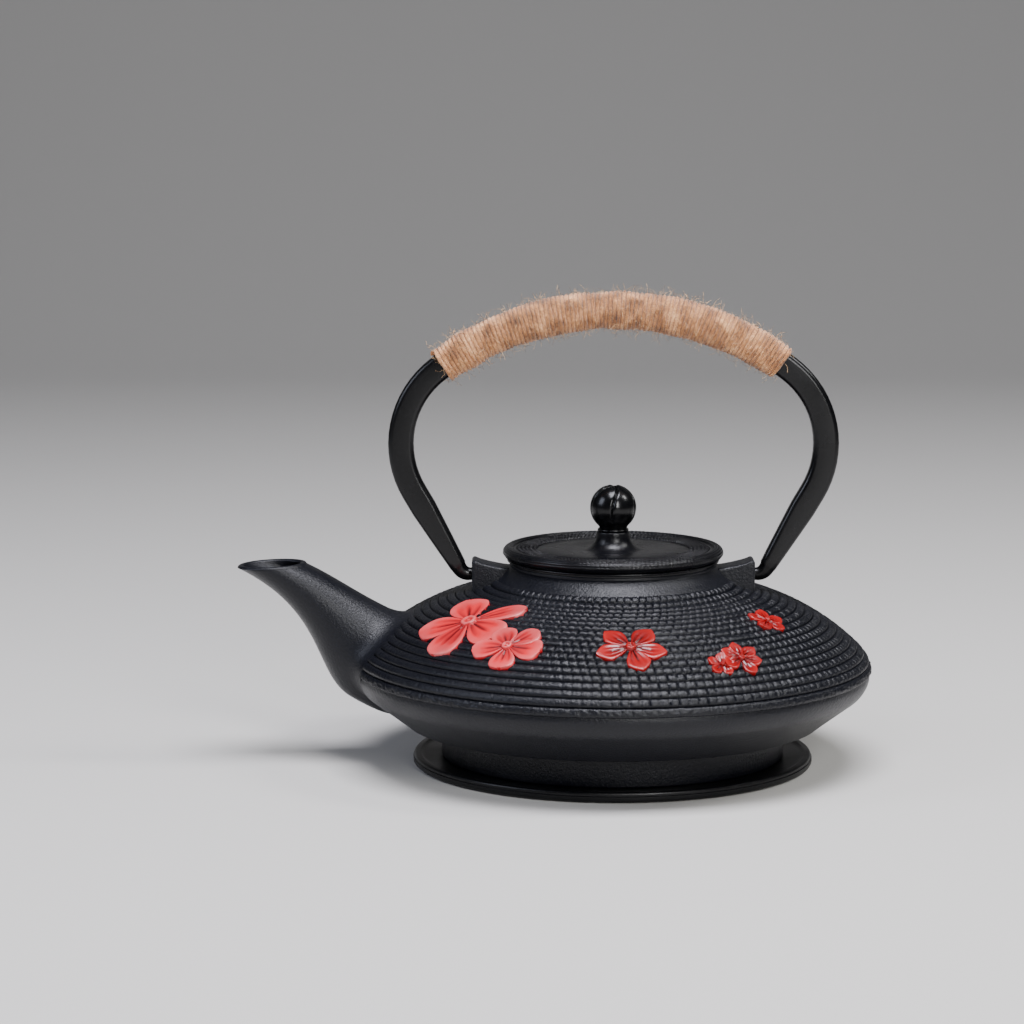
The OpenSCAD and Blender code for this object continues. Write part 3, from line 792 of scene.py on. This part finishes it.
blossoms = (
    ("blossom_left_large", "flower_left_large", 25.9, -140.8, coral, "coral_enamel", 1.35, 0.0,
     ((2, 19.3, 13.2, 0.55), (79, 18.6, 14.0, 0.7), (139, 20.5, 10.4, 0.75),
      (229, 19.5, 14.0, 0.7), (298, 20.0, 12.6, 0.4))),
    ("blossom_left_small", "flower_left_small", 17.3, -120.3, coral, "coral_enamel", 1.25, 0.35,
     ((10, 10.8, 9.0, 0.85), (90, 12.8, 10.0, 0.85), (140, 12.2, 8.6, 0.7), (215, 10.2, 9.0, 0.8),
      (284, 12.6, 8.6, 0.75))),
    ("blossom_front", "flower_front", 19.5, -86.8, deep_red, "red_enamel", 1.35, 0.0,
     ((17, 11.9, 8.2, 0.05), (77, 12.3, 7.6, 0.0), (141, 11.8, 8.0, 0.15), (224, 11.8, 7.6, 0.1),
      (286, 12.3, 7.6, 0.0))),
    ("blossom_right_large", "flower_right_large", 12.5, -58.5, deep_red, "red_enamel", 1.25, 0.2,
     ((16, 7.6, 5.0, 0.1), (70, 7.4, 5.0, 0.1), (118, 8.0, 4.8, 0.1), (176, 7.2, 5.0, 0.1),
      (232, 7.2, 5.2, 0.1), (290, 7.6, 5.2, 0.1))),
    ("blossom_right_small", "flower_right_small", 11.2, -64.4, deep_red, "red_enamel", 1.1, 0.0,
     ((20, 5.0, 3.8, 0.1), (95, 4.6, 3.8, 0.1), (165, 5.0, 3.8, 0.1), (235, 5.2, 3.8, 0.1),
      (305, 5.4, 3.8, 0.1))),
    ("blossom_right_upper", "flower_right_upper", 26.2, -36.9, deep_red, "red_enamel", 1.25, 0.0,
     ((12, 6.9, 5.0, 0.15), (80, 7.0, 5.2, 0.15), (150, 6.9, 5.0, 0.15), (222, 7.0, 5.0, 0.15),
      (296, 7.0, 5.2, 0.15))))
for name, node, inset, azimuth, paint, slot, tall, lift, petals in blossoms:
    blossom = flower(name, inset, azimuth, petals, tall, paint, lift)
    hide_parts(node)

# ---------------------------------------------------------------------------------------
# Lid. A round casting with a rolled bead, a shallow dish with a ring of fine cast ticks, and
# a bell shaped boss under the knob. Its paint is smoother and shinier than the pot's.
# ---------------------------------------------------------------------------------------

lid_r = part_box("lid")[1].x / MM
lid_top_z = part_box("lid")[1].z / MM
bead_r = 2.0
bead_c = (lid_r - bead_r, neck_z + 5.6 - bead_r)
dish_z = neck_z + 4.8
skirt_r = 30.5
boss_r = 5.9

lid_outline = (
    [(2.05, dish_z - wall), (2.05, lid_top_z)] + arc(boss_r - 0.5, lid_top_z - 0.5, 0.5, 90, 0, 4)
    + arc(boss_r + 5, dish_z + 4.7, 5, 180, 264, 12)
    + [(14, dish_z + 0.02), (20, dish_z - 0.05), (26.2, dish_z - 0.15), (26.5, dish_z - 0.35),
       (33.6, dish_z - 0.05), (33.9, dish_z + 0.25)]
    + arc(*bead_c, bead_r, 140, -70, 18)
    + [(lid_r - 1.8, neck_z + 1.45)] + arc(lid_r - 1.75, neck_z + 1.0, 0.42, 70, -90, 6)
    + [(neck_r - 0.2, neck_z + 0.5), (neck_r - 0.2, neck_z), (skirt_r + 0.4, neck_z),
       (skirt_r, neck_z - 0.4), (skirt_r, neck_z - 4.2), (skirt_r - 0.5, neck_z - 4.7),
       (skirt_r - 2.0, neck_z - 4.7), (skirt_r - 2.4, neck_z - 4.3)]
    + arc(skirt_r - 4.0, dish_z - wall - 1.6, 1.6, 0, 90, 5))
# Two smooth coats: it mirrors the soft boxes as broad pale sheens, with little grain
lid_iron = cast_iron("satin painted cast iron, lid", "#050508", 0.25, 0.6, 0.08)
lid = finish_mesh("lid_casting", turned("lid_casting", lid_outline), lid_iron, "lid")
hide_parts("lid")

tick_in_r, tick_out_r = 26.6, 33.6
tick_rings = 5
bead_rings = 6
bead_tick_r = bead_r - 0.12
tick_path = path_object("tick_path", [(tick_in_r, 0, dish_z - 0.36),
                                      (tick_out_r, 0, dish_z - 0.06)])
bead_path = path_object("bead_path", [
    (r, 0, z) for r, z in arc(*bead_c, bead_tick_r, 140, -20, 40)])
# What both rings of ticks share: rings of short ticks all the way round, with no spout
tick_values = {
    "First ring": 0, "Rows": 5, "Columns": 1000, "Growth": 0.0,
    "Plain rings": 99, "Spout half width": 0.01 * MM, "Spout top": 0.5, "Spout bottom": 1.0,
    "Back": 0.3 * MM, "Material": lid_iron}
ticks = grown("lid_ticks", tick_path, relief, tick_values | {
    "Rings": tick_rings, "Pitch": (tick_out_r - tick_in_r) / tick_rings * MM,
    "Ridge height": 0.68 * MM, "Brick length": 1.35 * MM, "Joint": 0.25, "Joint depth": 0.8,
    "Plain angle": -4.0, "Grain": 0.7 * MM, "Grain depth": 0.2 * MM, "Wander": 0.2 * MM})
finish_mesh("lid_tick_ring", ticks, lid_iron, "lid", crease=80)
bead_ticks = grown("bead_ticks", bead_path, relief, tick_values | {
    "Rings": bead_rings, "Pitch": bead_tick_r * math.radians(160) / bead_rings * MM,
    "Ridge height": 0.26 * MM, "Brick length": 1.5 * MM, "Joint": 0.3, "Joint depth": 0.85,
    "Plain angle": 1.0, "Grain": 0.8 * MM, "Grain depth": 0.16 * MM, "Wander": 0.3 * MM})
finish_mesh("lid_bead_ticks", bead_ticks, lid_iron, "lid", crease=80)

# ---------------------------------------------------------------------------------------
# Knob. A cast bud with five folded petals and a star where their tips meet. Its neck sits
# on the boss, and its stud goes through the lid to a washer and a nut underneath.
# ---------------------------------------------------------------------------------------

knob_low, knob_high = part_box("lid_knob")
knob_r = knob_high.x / MM
knob_c = knob_high.z / MM - knob_r
knob_neck = 5.0
stud_r = 2.0
petal_count = 5


def bud_radius(polar, turn_a):
    """The bud's radius in mm at an angle from its crown, round its axis."""
    fold = turn_a + 0.75 * math.sin(polar * 0.9) - 0.35
    off = (fold * petal_count / (2 * math.pi)) % 1.0
    off = min(off, 1 - off) * 2 * math.pi / petal_count * max(math.sin(polar), 0.05) * knob_r
    fade = min(1, max(0, (math.radians(132) - polar) / math.radians(35)))
    groove = 0.75 * math.exp(-(off / 0.38) ** 2) * fade
    star = math.radians(24) + math.radians(7) * math.cos(petal_count * fold)
    well = min(1, max(0, (star - polar) / math.radians(7)))
    tip = 0.5 * math.exp(-(polar / 0.16) ** 2)
    return knob_r - 0.02 - groove - 0.6 * well * well * (3 - 2 * well) + tip


sides = 144
bud_steps = 62
bud_rows = []
for i in range(1, bud_steps):
    polar = math.pi * i / bud_steps
    row_points = []
    for j in range(sides):
        b = 2 * math.pi * j / sides
        rad = bud_radius(polar, b)
        ring_r_mm, z = rad * math.sin(polar), knob_c + rad * math.cos(polar)
        if polar > math.pi / 2 and ring_r_mm < knob_neck:
            break
        row_points.append((ring_r_mm * math.cos(b), ring_r_mm * math.sin(b), z))
    if len(row_points) < sides:
        break
    bud_rows.append(row_points)
neck_rows = ([(knob_neck - 0.15, lid_top_z + 1.5), (knob_neck - 0.25, lid_top_z + 0.9)]
             + arc(knob_neck, lid_top_z + 0.55, 0.45, 90, -90, 6)
             + [(knob_neck - 0.4, lid_top_z), (stud_r, lid_top_z), (stud_r, knob_low.z / MM + 0.4),
                (stud_r - 0.4, knob_low.z / MM), (0.001, knob_low.z / MM)])
turns_round = [2 * math.pi * j / sides for j in range(sides)]
for r, z in neck_rows:
    bud_rows.append([(r * math.cos(b), r * math.sin(b), z) for b in turns_round])
# Lacquer that fills the sand's grain: deep black with small sharp lights on each fold
knob_iron = cast_iron("gloss black lacquer on cast iron, knob", "#040405", 0.22, 0.9, 0.012)
knob = finish_mesh("knob_bud", shell_mesh("knob_bud", bud_rows, poles=(True, True)), knob_iron,
                   "lid", crease=50)
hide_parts("lid_knob")

# ---------------------------------------------------------------------------------------
# Washer and nut. Plain stamped steel with a faint bright zinc skin, as they come from the
# box. They keep their CAD shapes.
# ---------------------------------------------------------------------------------------


def steel(name, colour, roughness, grain_mm, stretch):
    """Bare steel with fine brushed lines, longer one way than the others."""
    material, tree, shader, place = new_material(name)
    spread = add(tree, "ShaderNodeMapping", {"Vector": place, "Scale": stretch})
    lines = add(tree, "ShaderNodeTexNoise", {"Vector": spread, "Scale": 1 / (grain_mm * MM),
                                             "Detail": 2})
    shader.inputs["Base Color"].default_value = linear(colour)
    shader.inputs["Metallic"].default_value = 1
    shine = add(tree, "ShaderNodeMapRange", {"Value": lines, "To Min": roughness - 0.08,
                                             "To Max": roughness + 0.1})
    tree.links.new(shine.outputs[0], shader.inputs["Roughness"])
    bump = add(tree, "ShaderNodeBump", {"Height": lines, "Strength": 0.25, "Distance": 0.01 * MM})
    tree.links.new(bump.outputs[0], shader.inputs["Normal"])
    return material


# A thin dull plating: pale grey with a soft shine
zinc_steel = steel("zinc plated steel, fasteners", "#b9bbbd", 0.36, 0.3, (1, 1, 1))
for node in ("knob_washer", "knob_nut"):
    frame["nodes"][node].data.materials.clear()
    frame["nodes"][node].data.materials.append(zinc_steel)

# ---------------------------------------------------------------------------------------
# Bail. A flat bar of iron, bent hot to a bow with tight corners, drawn out narrower towards
# its ends and turned inwards into two hooks that swing in the lugs. It is lacquered black.
# ---------------------------------------------------------------------------------------

bar_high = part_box("handle_bar")[1]
bar_w = 8.9
bar_t = bar_high.y / MM * 2
bar_edge = 1.9
crown_round = 101
corner_round = 33
crown_half = math.radians(37)
crown_c = (0, bar_high.z / MM - bar_w / 2 - crown_round)
corner_c = (crown_c[0] + (crown_round - corner_round) * math.sin(crown_half),
            crown_c[1] + (crown_round - corner_round) * math.cos(crown_half))
hook_w = 5.2
hook_t = 5.4
hook_bend = 3.6
hook_x = lug_x + 0.5 + hook_w / 2
pin_r = 2.2
pin_end = lug_x - 8
leg_reach = math.hypot(corner_c[0] - hook_x, corner_c[1] - pivot)
leg_l = math.sqrt(leg_reach ** 2 - corner_round ** 2)
leg_lean = (math.asin(corner_round / leg_reach)
            + math.atan2(corner_c[0] - hook_x, corner_c[1] - pivot))


def bar_section(width, thick, round_mm, sides=8):
    """A bar's section with round edges: points across its plane and through it."""
    points = []
    for k in range(4):
        for i in range(sides):
            a = math.radians(90 * k + 90 * i / (sides - 1))
            sx, sy = (1, 1, -1, -1)[(k + 1) % 4], (1, 1, -1, -1)[k]
            points.append(((width / 2 - round_mm) * sx + round_mm * math.cos(a),
                           (thick / 2 - round_mm) * sy + round_mm * math.sin(a)))
    return points


# Stations along the bar, from the far side's pin to the middle of the crown: place across and
# up, the angle that faces out of the bow, width, thickness and the edges' rounding
pin_w = 2 * pin_r
pin_turn = -math.pi / 2
toe = np.array([hook_x, pivot])
leg_way = np.array([math.sin(leg_lean), math.cos(leg_lean)])
stations = [(pin_end, pivot, pin_turn, pin_w - 0.8, pin_w - 0.8, pin_r - 0.42),
            (pin_end + 0.4, pivot, pin_turn, pin_w, pin_w, pin_r - 0.02),
            (lug_x + 0.2, pivot, pin_turn, pin_w, pin_w, pin_r - 0.02)]
bend_start = np.array([lug_x + 0.5, pivot])
bend_corner = toe + np.array([0.3, -0.25])
bend_end = toe + leg_way * hook_bend
for i in range(1, 9):
    t = i / 9
    p = (1 - t) ** 2 * bend_start + 2 * (1 - t) * t * bend_corner + t * t * bend_end
    way = (1 - t) * (toe - bend_start) + t * (bend_end - toe)
    width = pin_w + (hook_w + 0.35 - pin_w) * t
    thick = pin_w + (hook_t - pin_w) * t
    stations.append((p[0], p[1], math.atan2(way[1], way[0]) - math.pi / 2, width, thick,
                     min(width, thick) / 2 - 0.1 - 0.4 * t))
for i in range(9):
    s = hook_bend + (leg_l - hook_bend) * i / 9
    p = toe + leg_way * s
    share = min(1, s / (0.8 * leg_l))
    width = max(hook_w + (bar_w - hook_w) * share ** 0.9, hook_w + 0.3)
    stations.append((p[0], p[1], -leg_lean, width, hook_t + (bar_t - hook_t) * share, bar_edge))
corner_end = math.pi / 2 - crown_half
bows = [(corner_c, corner_round, -leg_lean + (corner_end + leg_lean) * i / 16) for i in range(16)]
bows += [(crown_c, crown_round, corner_end + crown_half * i / 24) for i in range(25)]
for centre, radius, a in bows:
    stations.append((centre[0] + radius * math.cos(a), centre[1] + radius * math.sin(a),
                     a, bar_w, bar_t, bar_edge))
stations += [(-x, z, math.pi - a, w, t, r) for x, z, a, w, t, r in reversed(stations[:-1])]
rows = []
for x, z, a, width, thick, round_mm in stations:
    rows.append([(x + u * math.cos(a), v, z + u * math.sin(a))
                 for u, v in bar_section(width, thick, round_mm)])
# Lacquer on forged bar: a long clean light runs down each rounded edge
bail_iron = cast_iron("black lacquered iron, bail", "#040405", 0.27, 1.1, 0.02)
bail = finish_mesh("bail_bar", shell_mesh("bail_bar", rows, poles=(True, True)), bail_iron,
                   "bail", crease=40)
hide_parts("handle_bar")

# ---------------------------------------------------------------------------------------
# Grip. Natural jute twine of two plies is wound tightly round the crown of the bail, turn by
# turn, so that the hand stays off the hot iron. Loose fibres stand out all over it.
# ---------------------------------------------------------------------------------------

wrap_half = math.radians(36.2)
twine_d = 1.75
turns = 86

winding, given = new_growth("twine wound on a bar", {
    "Turns": 60, "Points a turn": 28, "Bar width": 0.0089, "Bar thickness": 0.006,
    "Twine": 0.0021, "Under layer": 0.0005, "Lump": 0.0003, "Plies": 3, "Twist": 2.2,
    "Fibre density": 400000.0, "Fibre length": 0.004, "Seed": 5,
    "Material": None, "Fibre material": None})
wind = functools.partial(add, winding)
knots = wind("MULTIPLY", [given["Turns"], given["Points a turn"]])
wound = wind("GeometryNodeResampleCurve", {"Curve": given["Geometry"], "Count": knots},
             mode="COUNT")
number = wind("GeometryNodeInputIndex")
lap = wind("DIVIDE", [number, given["Points a turn"]])
lap_angle = wind("MULTIPLY", [lap, 2 * math.pi])
seat_noise = wind("ShaderNodeTexNoise", {"Vector": wind("GeometryNodeInputPosition"),
                                         "Scale": 0.075 / MM, "Detail": 2.0})
lump = wind("MULTIPLY", [wind("SUBTRACT", [seat_noise, 0.5]), given["Lump"]])
# A layer of twine underneath, which stops a few turns short of both ends
from_end = wind("MINIMUM", [lap, wind("SUBTRACT", [given["Turns"], lap])])
layered = wind("ShaderNodeMapRange", [from_end, 2.0, 7.0, 0.0, given["Under layer"]],
               interpolation_type="SMOOTHSTEP")
lump = wind("ADD", [lump, layered])
lap_cos = wind("COSINE", [lap_angle])
lap_sin = wind("SINE", [lap_angle])
# The turns lie on a rounded box: the bar's half sizes plus half a twine
box_w = wind("MULTIPLY", [wind("ADD", [given["Bar width"], given["Twine"]]), 0.5])
box_t = wind("MULTIPLY", [wind("ADD", [given["Bar thickness"], given["Twine"]]), 0.5])
squareness = 2.9
part_w = wind("POWER", [wind("ABSOLUTE", [lap_cos]), squareness])
part_t = wind("POWER", [wind("ABSOLUTE", [lap_sin]), squareness])
norm = wind("POWER", [wind("ADD", [part_w, part_t]), 1 / squareness])
off_w = wind("MULTIPLY", [wind("DIVIDE", [lap_cos, norm]), wind("ADD", [box_w, lump])])
off_t = wind("MULTIPLY", [wind("DIVIDE", [lap_sin, norm]), wind("ADD", [box_t, lump])])
course = wind("GeometryNodeInputTangent")
course_parts = wind("ShaderNodeSeparateXYZ", [course])
outward = wind("ShaderNodeCombineXYZ", [wind("MULTIPLY", [course_parts.outputs[2], -1.0]), 0.0,
                                        course_parts.outputs[0]])
offset_w = wind("ShaderNodeVectorMath", {0: outward, "Scale": off_w}, operation="SCALE")
offset_t = wind("ShaderNodeCombineXYZ", [0.0, off_t, 0.0])
offset = wind("ShaderNodeVectorMath", [offset_w, offset_t], operation="ADD")
coiled = wind("GeometryNodeSetPosition", {"Geometry": wound, "Offset": offset})
rolled = wind("GeometryNodeSetCurveTilt", {"Curve": coiled,
                                           "Tilt": wind("MULTIPLY", [lap_angle, given["Twist"]])})
# The twine's section has one lobe for each ply
ring_curve = wind("GeometryNodeCurvePrimitiveCircle", {"Resolution": 12, "Radius": 1.0})
ring_at = wind("ShaderNodeSeparateXYZ", [wind("GeometryNodeInputPosition")])
lobe_angle = wind("ARCTAN2", [ring_at.outputs[1], ring_at.outputs[0]])
lobe = wind("COSINE", [wind("MULTIPLY", [lobe_angle, given["Plies"]])])
lobe_r = wind("MULTIPLY_ADD", [lobe, 0.13, 0.90])
half_twine = wind("MULTIPLY", [given["Twine"], 0.5])
lobe_scale = wind("MULTIPLY", [lobe_r, half_twine])
lobe_at = wind("ShaderNodeVectorMath", {0: wind("GeometryNodeInputPosition"), "Scale": lobe_scale},
               operation="SCALE")
ply_section = wind("GeometryNodeSetPosition", {"Geometry": ring_curve, "Position": lobe_at})
cord = wind("GeometryNodeCurveToMesh", {"Curve": rolled, "Profile Curve": ply_section,
                                        "Fill Caps": True})
cord_clad = wind("GeometryNodeSetMaterial", {"Geometry": cord, "Material": given["Material"]})
# Loose fibres: short bent hairs that leave the twine in any direction
roots = wind("GeometryNodeDistributePointsOnFaces", {"Mesh": cord,
                                                     "Density": given["Fibre density"],
                                                     "Seed": given["Seed"]})
hair_line = wind("GeometryNodeCurvePrimitiveBezierSegment",
                 {"Resolution": 4, "Start": (0, 0, 0), "Start Handle": (0, 0.1, 0.35),
                  "End Handle": (0.35, 0.2, 0.5), "End": (0.8, 0.3, 0.45)})
hair_section = wind("GeometryNodeCurvePrimitiveCircle", {"Resolution": 3, "Radius": 0.010})
hair = wind("GeometryNodeCurveToMesh", {"Curve": hair_line, "Profile Curve": hair_section})
hair_turn = wind("FunctionNodeRandomValue", {"Max": (0.9, 0.9, 6.28), "Min": (-0.9, -0.9, 0),
                                             "Seed": given["Seed"]}, data_type="FLOAT_VECTOR")
hair_size = wind("FunctionNodeRandomValue", {2: 0.15, 3: 1.0, "Seed": given["Seed"]},
                 data_type="FLOAT")
hair_scale = wind("MULTIPLY", [hair_size.outputs[1], given["Fibre length"]])
lean = wind("FunctionNodeRotateRotation", {"Rotation": roots.outputs["Rotation"],
                                           "Rotate By": hair_turn.outputs[0]},
            rotation_space="LOCAL")
hairs = wind("GeometryNodeInstanceOnPoints", {"Points": roots, "Instance": hair, "Rotation": lean,
                                              "Scale": hair_scale})
hair_mesh = wind("GeometryNodeRealizeInstances", {"Geometry": hairs})
hair_clad = wind("GeometryNodeSetMaterial", {"Geometry": hair_mesh,
                                             "Material": given["Fibre material"]})
whole = wind("GeometryNodeJoinGeometry")
winding.links.new(cord_clad.outputs[0], whole.inputs[0])
winding.links.new(hair_clad.outputs[0], whole.inputs[0])
wind("NodeGroupOutput", [whole])

# Jute: dry and matt, from straw to brown between one strand and the next, with a soft fuzz
# that lightens its rim. The strands are drawn 0.4 mm apart, coarser than real ones, to show.
jute, tree, shader, place = new_material("natural jute twine")
strands = add(tree, "ShaderNodeTexNoise", {"Vector": place, "Scale": 2.6 / MM, "Detail": 3,
                                           "Roughness": 0.7, "Distortion": 1.2})
patches = add(tree, "ShaderNodeTexNoise", {"Vector": place, "Scale": 0.17 / MM, "Detail": 3})
tone = add(tree, "MULTIPLY_ADD", [strands, 0.6, add(tree, "MULTIPLY", [patches, 0.45])])
dye = add(tree, "ShaderNodeValToRGB", [tone])
dye.color_ramp.elements[0].position = 0.41
dye.color_ramp.elements[0].color = linear("#4a270c")
dye.color_ramp.elements[1].position = 0.68
dye.color_ramp.elements[1].color = linear("#f6c48f")
middle_stop = dye.color_ramp.elements.new(0.54)
middle_stop.color = linear("#b67845")
tree.links.new(dye.outputs[0], shader.inputs["Base Color"])
fuzz = add(tree, "ShaderNodeBump", {"Height": strands, "Strength": 1.0, "Distance": 0.25 * MM})
tree.links.new(fuzz.outputs[0], shader.inputs["Normal"])
shader.inputs["Roughness"].default_value = 0.9
shader.inputs["Sheen Weight"].default_value = 0.35
shader.inputs["Sheen Roughness"].default_value = 0.5

# Single fibres: pale ones catch the light, and darker ones show against it
fibre, tree, shader, place = new_material("loose jute fibre")
mixed = add(tree, "ShaderNodeTexNoise", {"Vector": place, "Scale": 0.9 / MM, "Detail": 2})
tint = add(tree, "ShaderNodeValToRGB", [mixed])
tint.color_ramp.elements[0].position = 0.42
tint.color_ramp.elements[0].color = linear("#4a2d1c")
tint.color_ramp.elements[1].position = 0.58
tint.color_ramp.elements[1].color = linear("#e6bd8e")
tree.links.new(tint.outputs[0], shader.inputs["Base Color"])
shader.inputs["Roughness"].default_value = 0.8

crown_line = [(crown_c[0] + crown_round * math.sin(a), 0, crown_c[1] + crown_round * math.cos(a))
              for a in np.linspace(-wrap_half, wrap_half - math.radians(1.2), 60)]
crown_path = path_object("crown_path", crown_line)
wrap = grown("grip_twine", crown_path, winding, {
    "Turns": turns, "Points a turn": 26, "Bar width": bar_w * MM, "Bar thickness": bar_t * MM,
    "Twine": twine_d * MM, "Under layer": 0.5 * MM, "Lump": 2.4 * MM, "Plies": 3, "Twist": 1.7,
    "Fibre density": 320000.0, "Fibre length": 4.6 * MM, "Seed": 5,
    "Material": jute, "Fibre material": fibre})
grip = finish_mesh("grip_twine", wrap, None, "bail", crease=80)
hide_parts("grip_wrap")

# ---------------------------------------------------------------------------------------
# Tea basket. Stainless steel: a flanged rim that hangs in the neck's rebate, a woven wire
# wall and a pressed cup that closes the bottom. The bands are rolled over the wire's ends.
# ---------------------------------------------------------------------------------------

rim_low, rim_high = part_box("infuser_rim")
wire_low, wire_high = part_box("infuser_mesh")
cup_low, cup_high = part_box("infuser_base")
basket_r = wire_high.x / MM
band_out = cup_high.x / MM

rim_outline = (
    [(basket_r, rim_low.z / MM), (band_out, rim_low.z / MM), (band_out, rim_high.z / MM - 1.6)]
    + arc(band_out + 0.6, rim_high.z / MM - 1.6, 0.6, 180, 90, 4)
    + arc(rim_high.x / MM - 0.4, rim_high.z / MM - 0.5, 0.5, -90, 90, 6)
    + arc(basket_r + 0.4, rim_high.z / MM - 0.4, 0.4, 90, 180, 4))
# Brushed round its length: upright streaks of light that shift from pale to mid grey
brushed = steel("brushed stainless steel, basket", "#c5c6c8", 0.30, 0.25, (1, 1, 14))
rim = finish_mesh("basket_rim", turned("basket_rim", rim_outline), brushed, "basket")
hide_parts("infuser_rim")

base_z = cup_low.z / MM
cup_outline = (
    [(0, base_z + 0.9), (8, base_z + 0.85), (22, base_z + 0.4), (27, base_z),
     (band_out - 0.8, base_z)]
    + arc(band_out - 0.8, base_z + 0.8, 0.8, -90, 0, 5)
    + [(band_out, cup_high.z / MM - 0.2), (band_out - 0.2, cup_high.z / MM),
       (basket_r, cup_high.z / MM), (basket_r, base_z + 0.55), (27, base_z + 0.5),
       (22, base_z + 0.9), (8, base_z + 1.3), (0, base_z + 1.35)])
cup = finish_mesh("basket_cup", turned("basket_cup", cup_outline), brushed, "basket")
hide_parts("infuser_base")

weave, given = new_growth("woven wire tube", {
    "Radius": 0.031, "Low": 0.029, "High": 0.07, "Uprights": 130, "Hoops": 28,
    "Wire": 0.00035, "Material": None})
knit = functools.partial(add, weave)
half_wire = knit("MULTIPLY", [given["Wire"], 0.5])
wire_section = knit("GeometryNodeCurvePrimitiveCircle", {"Resolution": 4, "Radius": half_wire})
low_end = knit("ShaderNodeCombineXYZ", [0.0, 0.0, given["Low"]])
high_end = knit("ShaderNodeCombineXYZ", [0.0, 0.0, given["High"]])
# Hoops: circles stacked on a line
span = knit("SUBTRACT", [given["High"], given["Low"]])
hoop_gap = knit("DIVIDE", [span, knit("SUBTRACT", [given["Hoops"], 1.0])])
hoop_step = knit("ShaderNodeCombineXYZ", [0.0, 0.0, hoop_gap])
hoop_stack = knit("GeometryNodeMeshLine", {"Count": given["Hoops"], "Start Location": low_end,
                                           "Offset": hoop_step})
hoop = knit("GeometryNodeCurvePrimitiveCircle", {"Resolution": 96, "Radius": given["Radius"]})
hoop_wire = knit("GeometryNodeCurveToMesh", {"Curve": hoop, "Profile Curve": wire_section})
hoops = knit("GeometryNodeInstanceOnPoints", {"Points": hoop_stack, "Instance": hoop_wire})
# Uprights: straight wires round the tube, one wire's thickness inside the hoops
upright_r = knit("SUBTRACT", [given["Radius"], given["Wire"]])
foot_ring = knit("GeometryNodeMeshCircle", {"Vertices": given["Uprights"], "Radius": upright_r})
upright = knit("GeometryNodeCurvePrimitiveLine", {"Start": low_end, "End": high_end})
upright_wire = knit("GeometryNodeCurveToMesh", {"Curve": upright, "Profile Curve": wire_section})
uprights = knit("GeometryNodeInstanceOnPoints", {"Points": foot_ring, "Instance": upright_wire})
both = knit("GeometryNodeJoinGeometry")
weave.links.new(hoops.outputs[0], both.inputs[0])
weave.links.new(uprights.outputs[0], both.inputs[0])
real = knit("GeometryNodeRealizeInstances", {"Geometry": both})
clad = knit("GeometryNodeSetMaterial", {"Geometry": real, "Material": given["Material"]})
knit("NodeGroupOutput", [clad])

# Bright drawn wire: each one carries a thin light, and the holes between stay dark
wire_steel = steel("stainless steel wire, drawn", "#b4b5b7", 0.28, 0.4, (1, 1, 1))
wire_path = path_object("wire_path", [(0, 0, wire_low.z / MM), (0, 0, wire_high.z / MM)])
wire_wall = grown("basket_wire", wire_path, weave, {
    "Radius": (basket_r - 0.2) * MM, "Low": wire_low.z, "High": wire_high.z - 0.3 * MM,
    "Uprights": 150, "Hoops": 32, "Wire": 0.38 * MM, "Material": wire_steel})
wire = finish_mesh("basket_wire", wire_wall, wire_steel, "basket", crease=60)
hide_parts("infuser_mesh")

# ---------------------------------------------------------------------------------------
# The curves that pieces grew along are no part of the pot.
# ---------------------------------------------------------------------------------------

for helper in (ridge_path, tick_path, bead_path, crown_path, wire_path):
    bpy.data.objects.remove(helper)
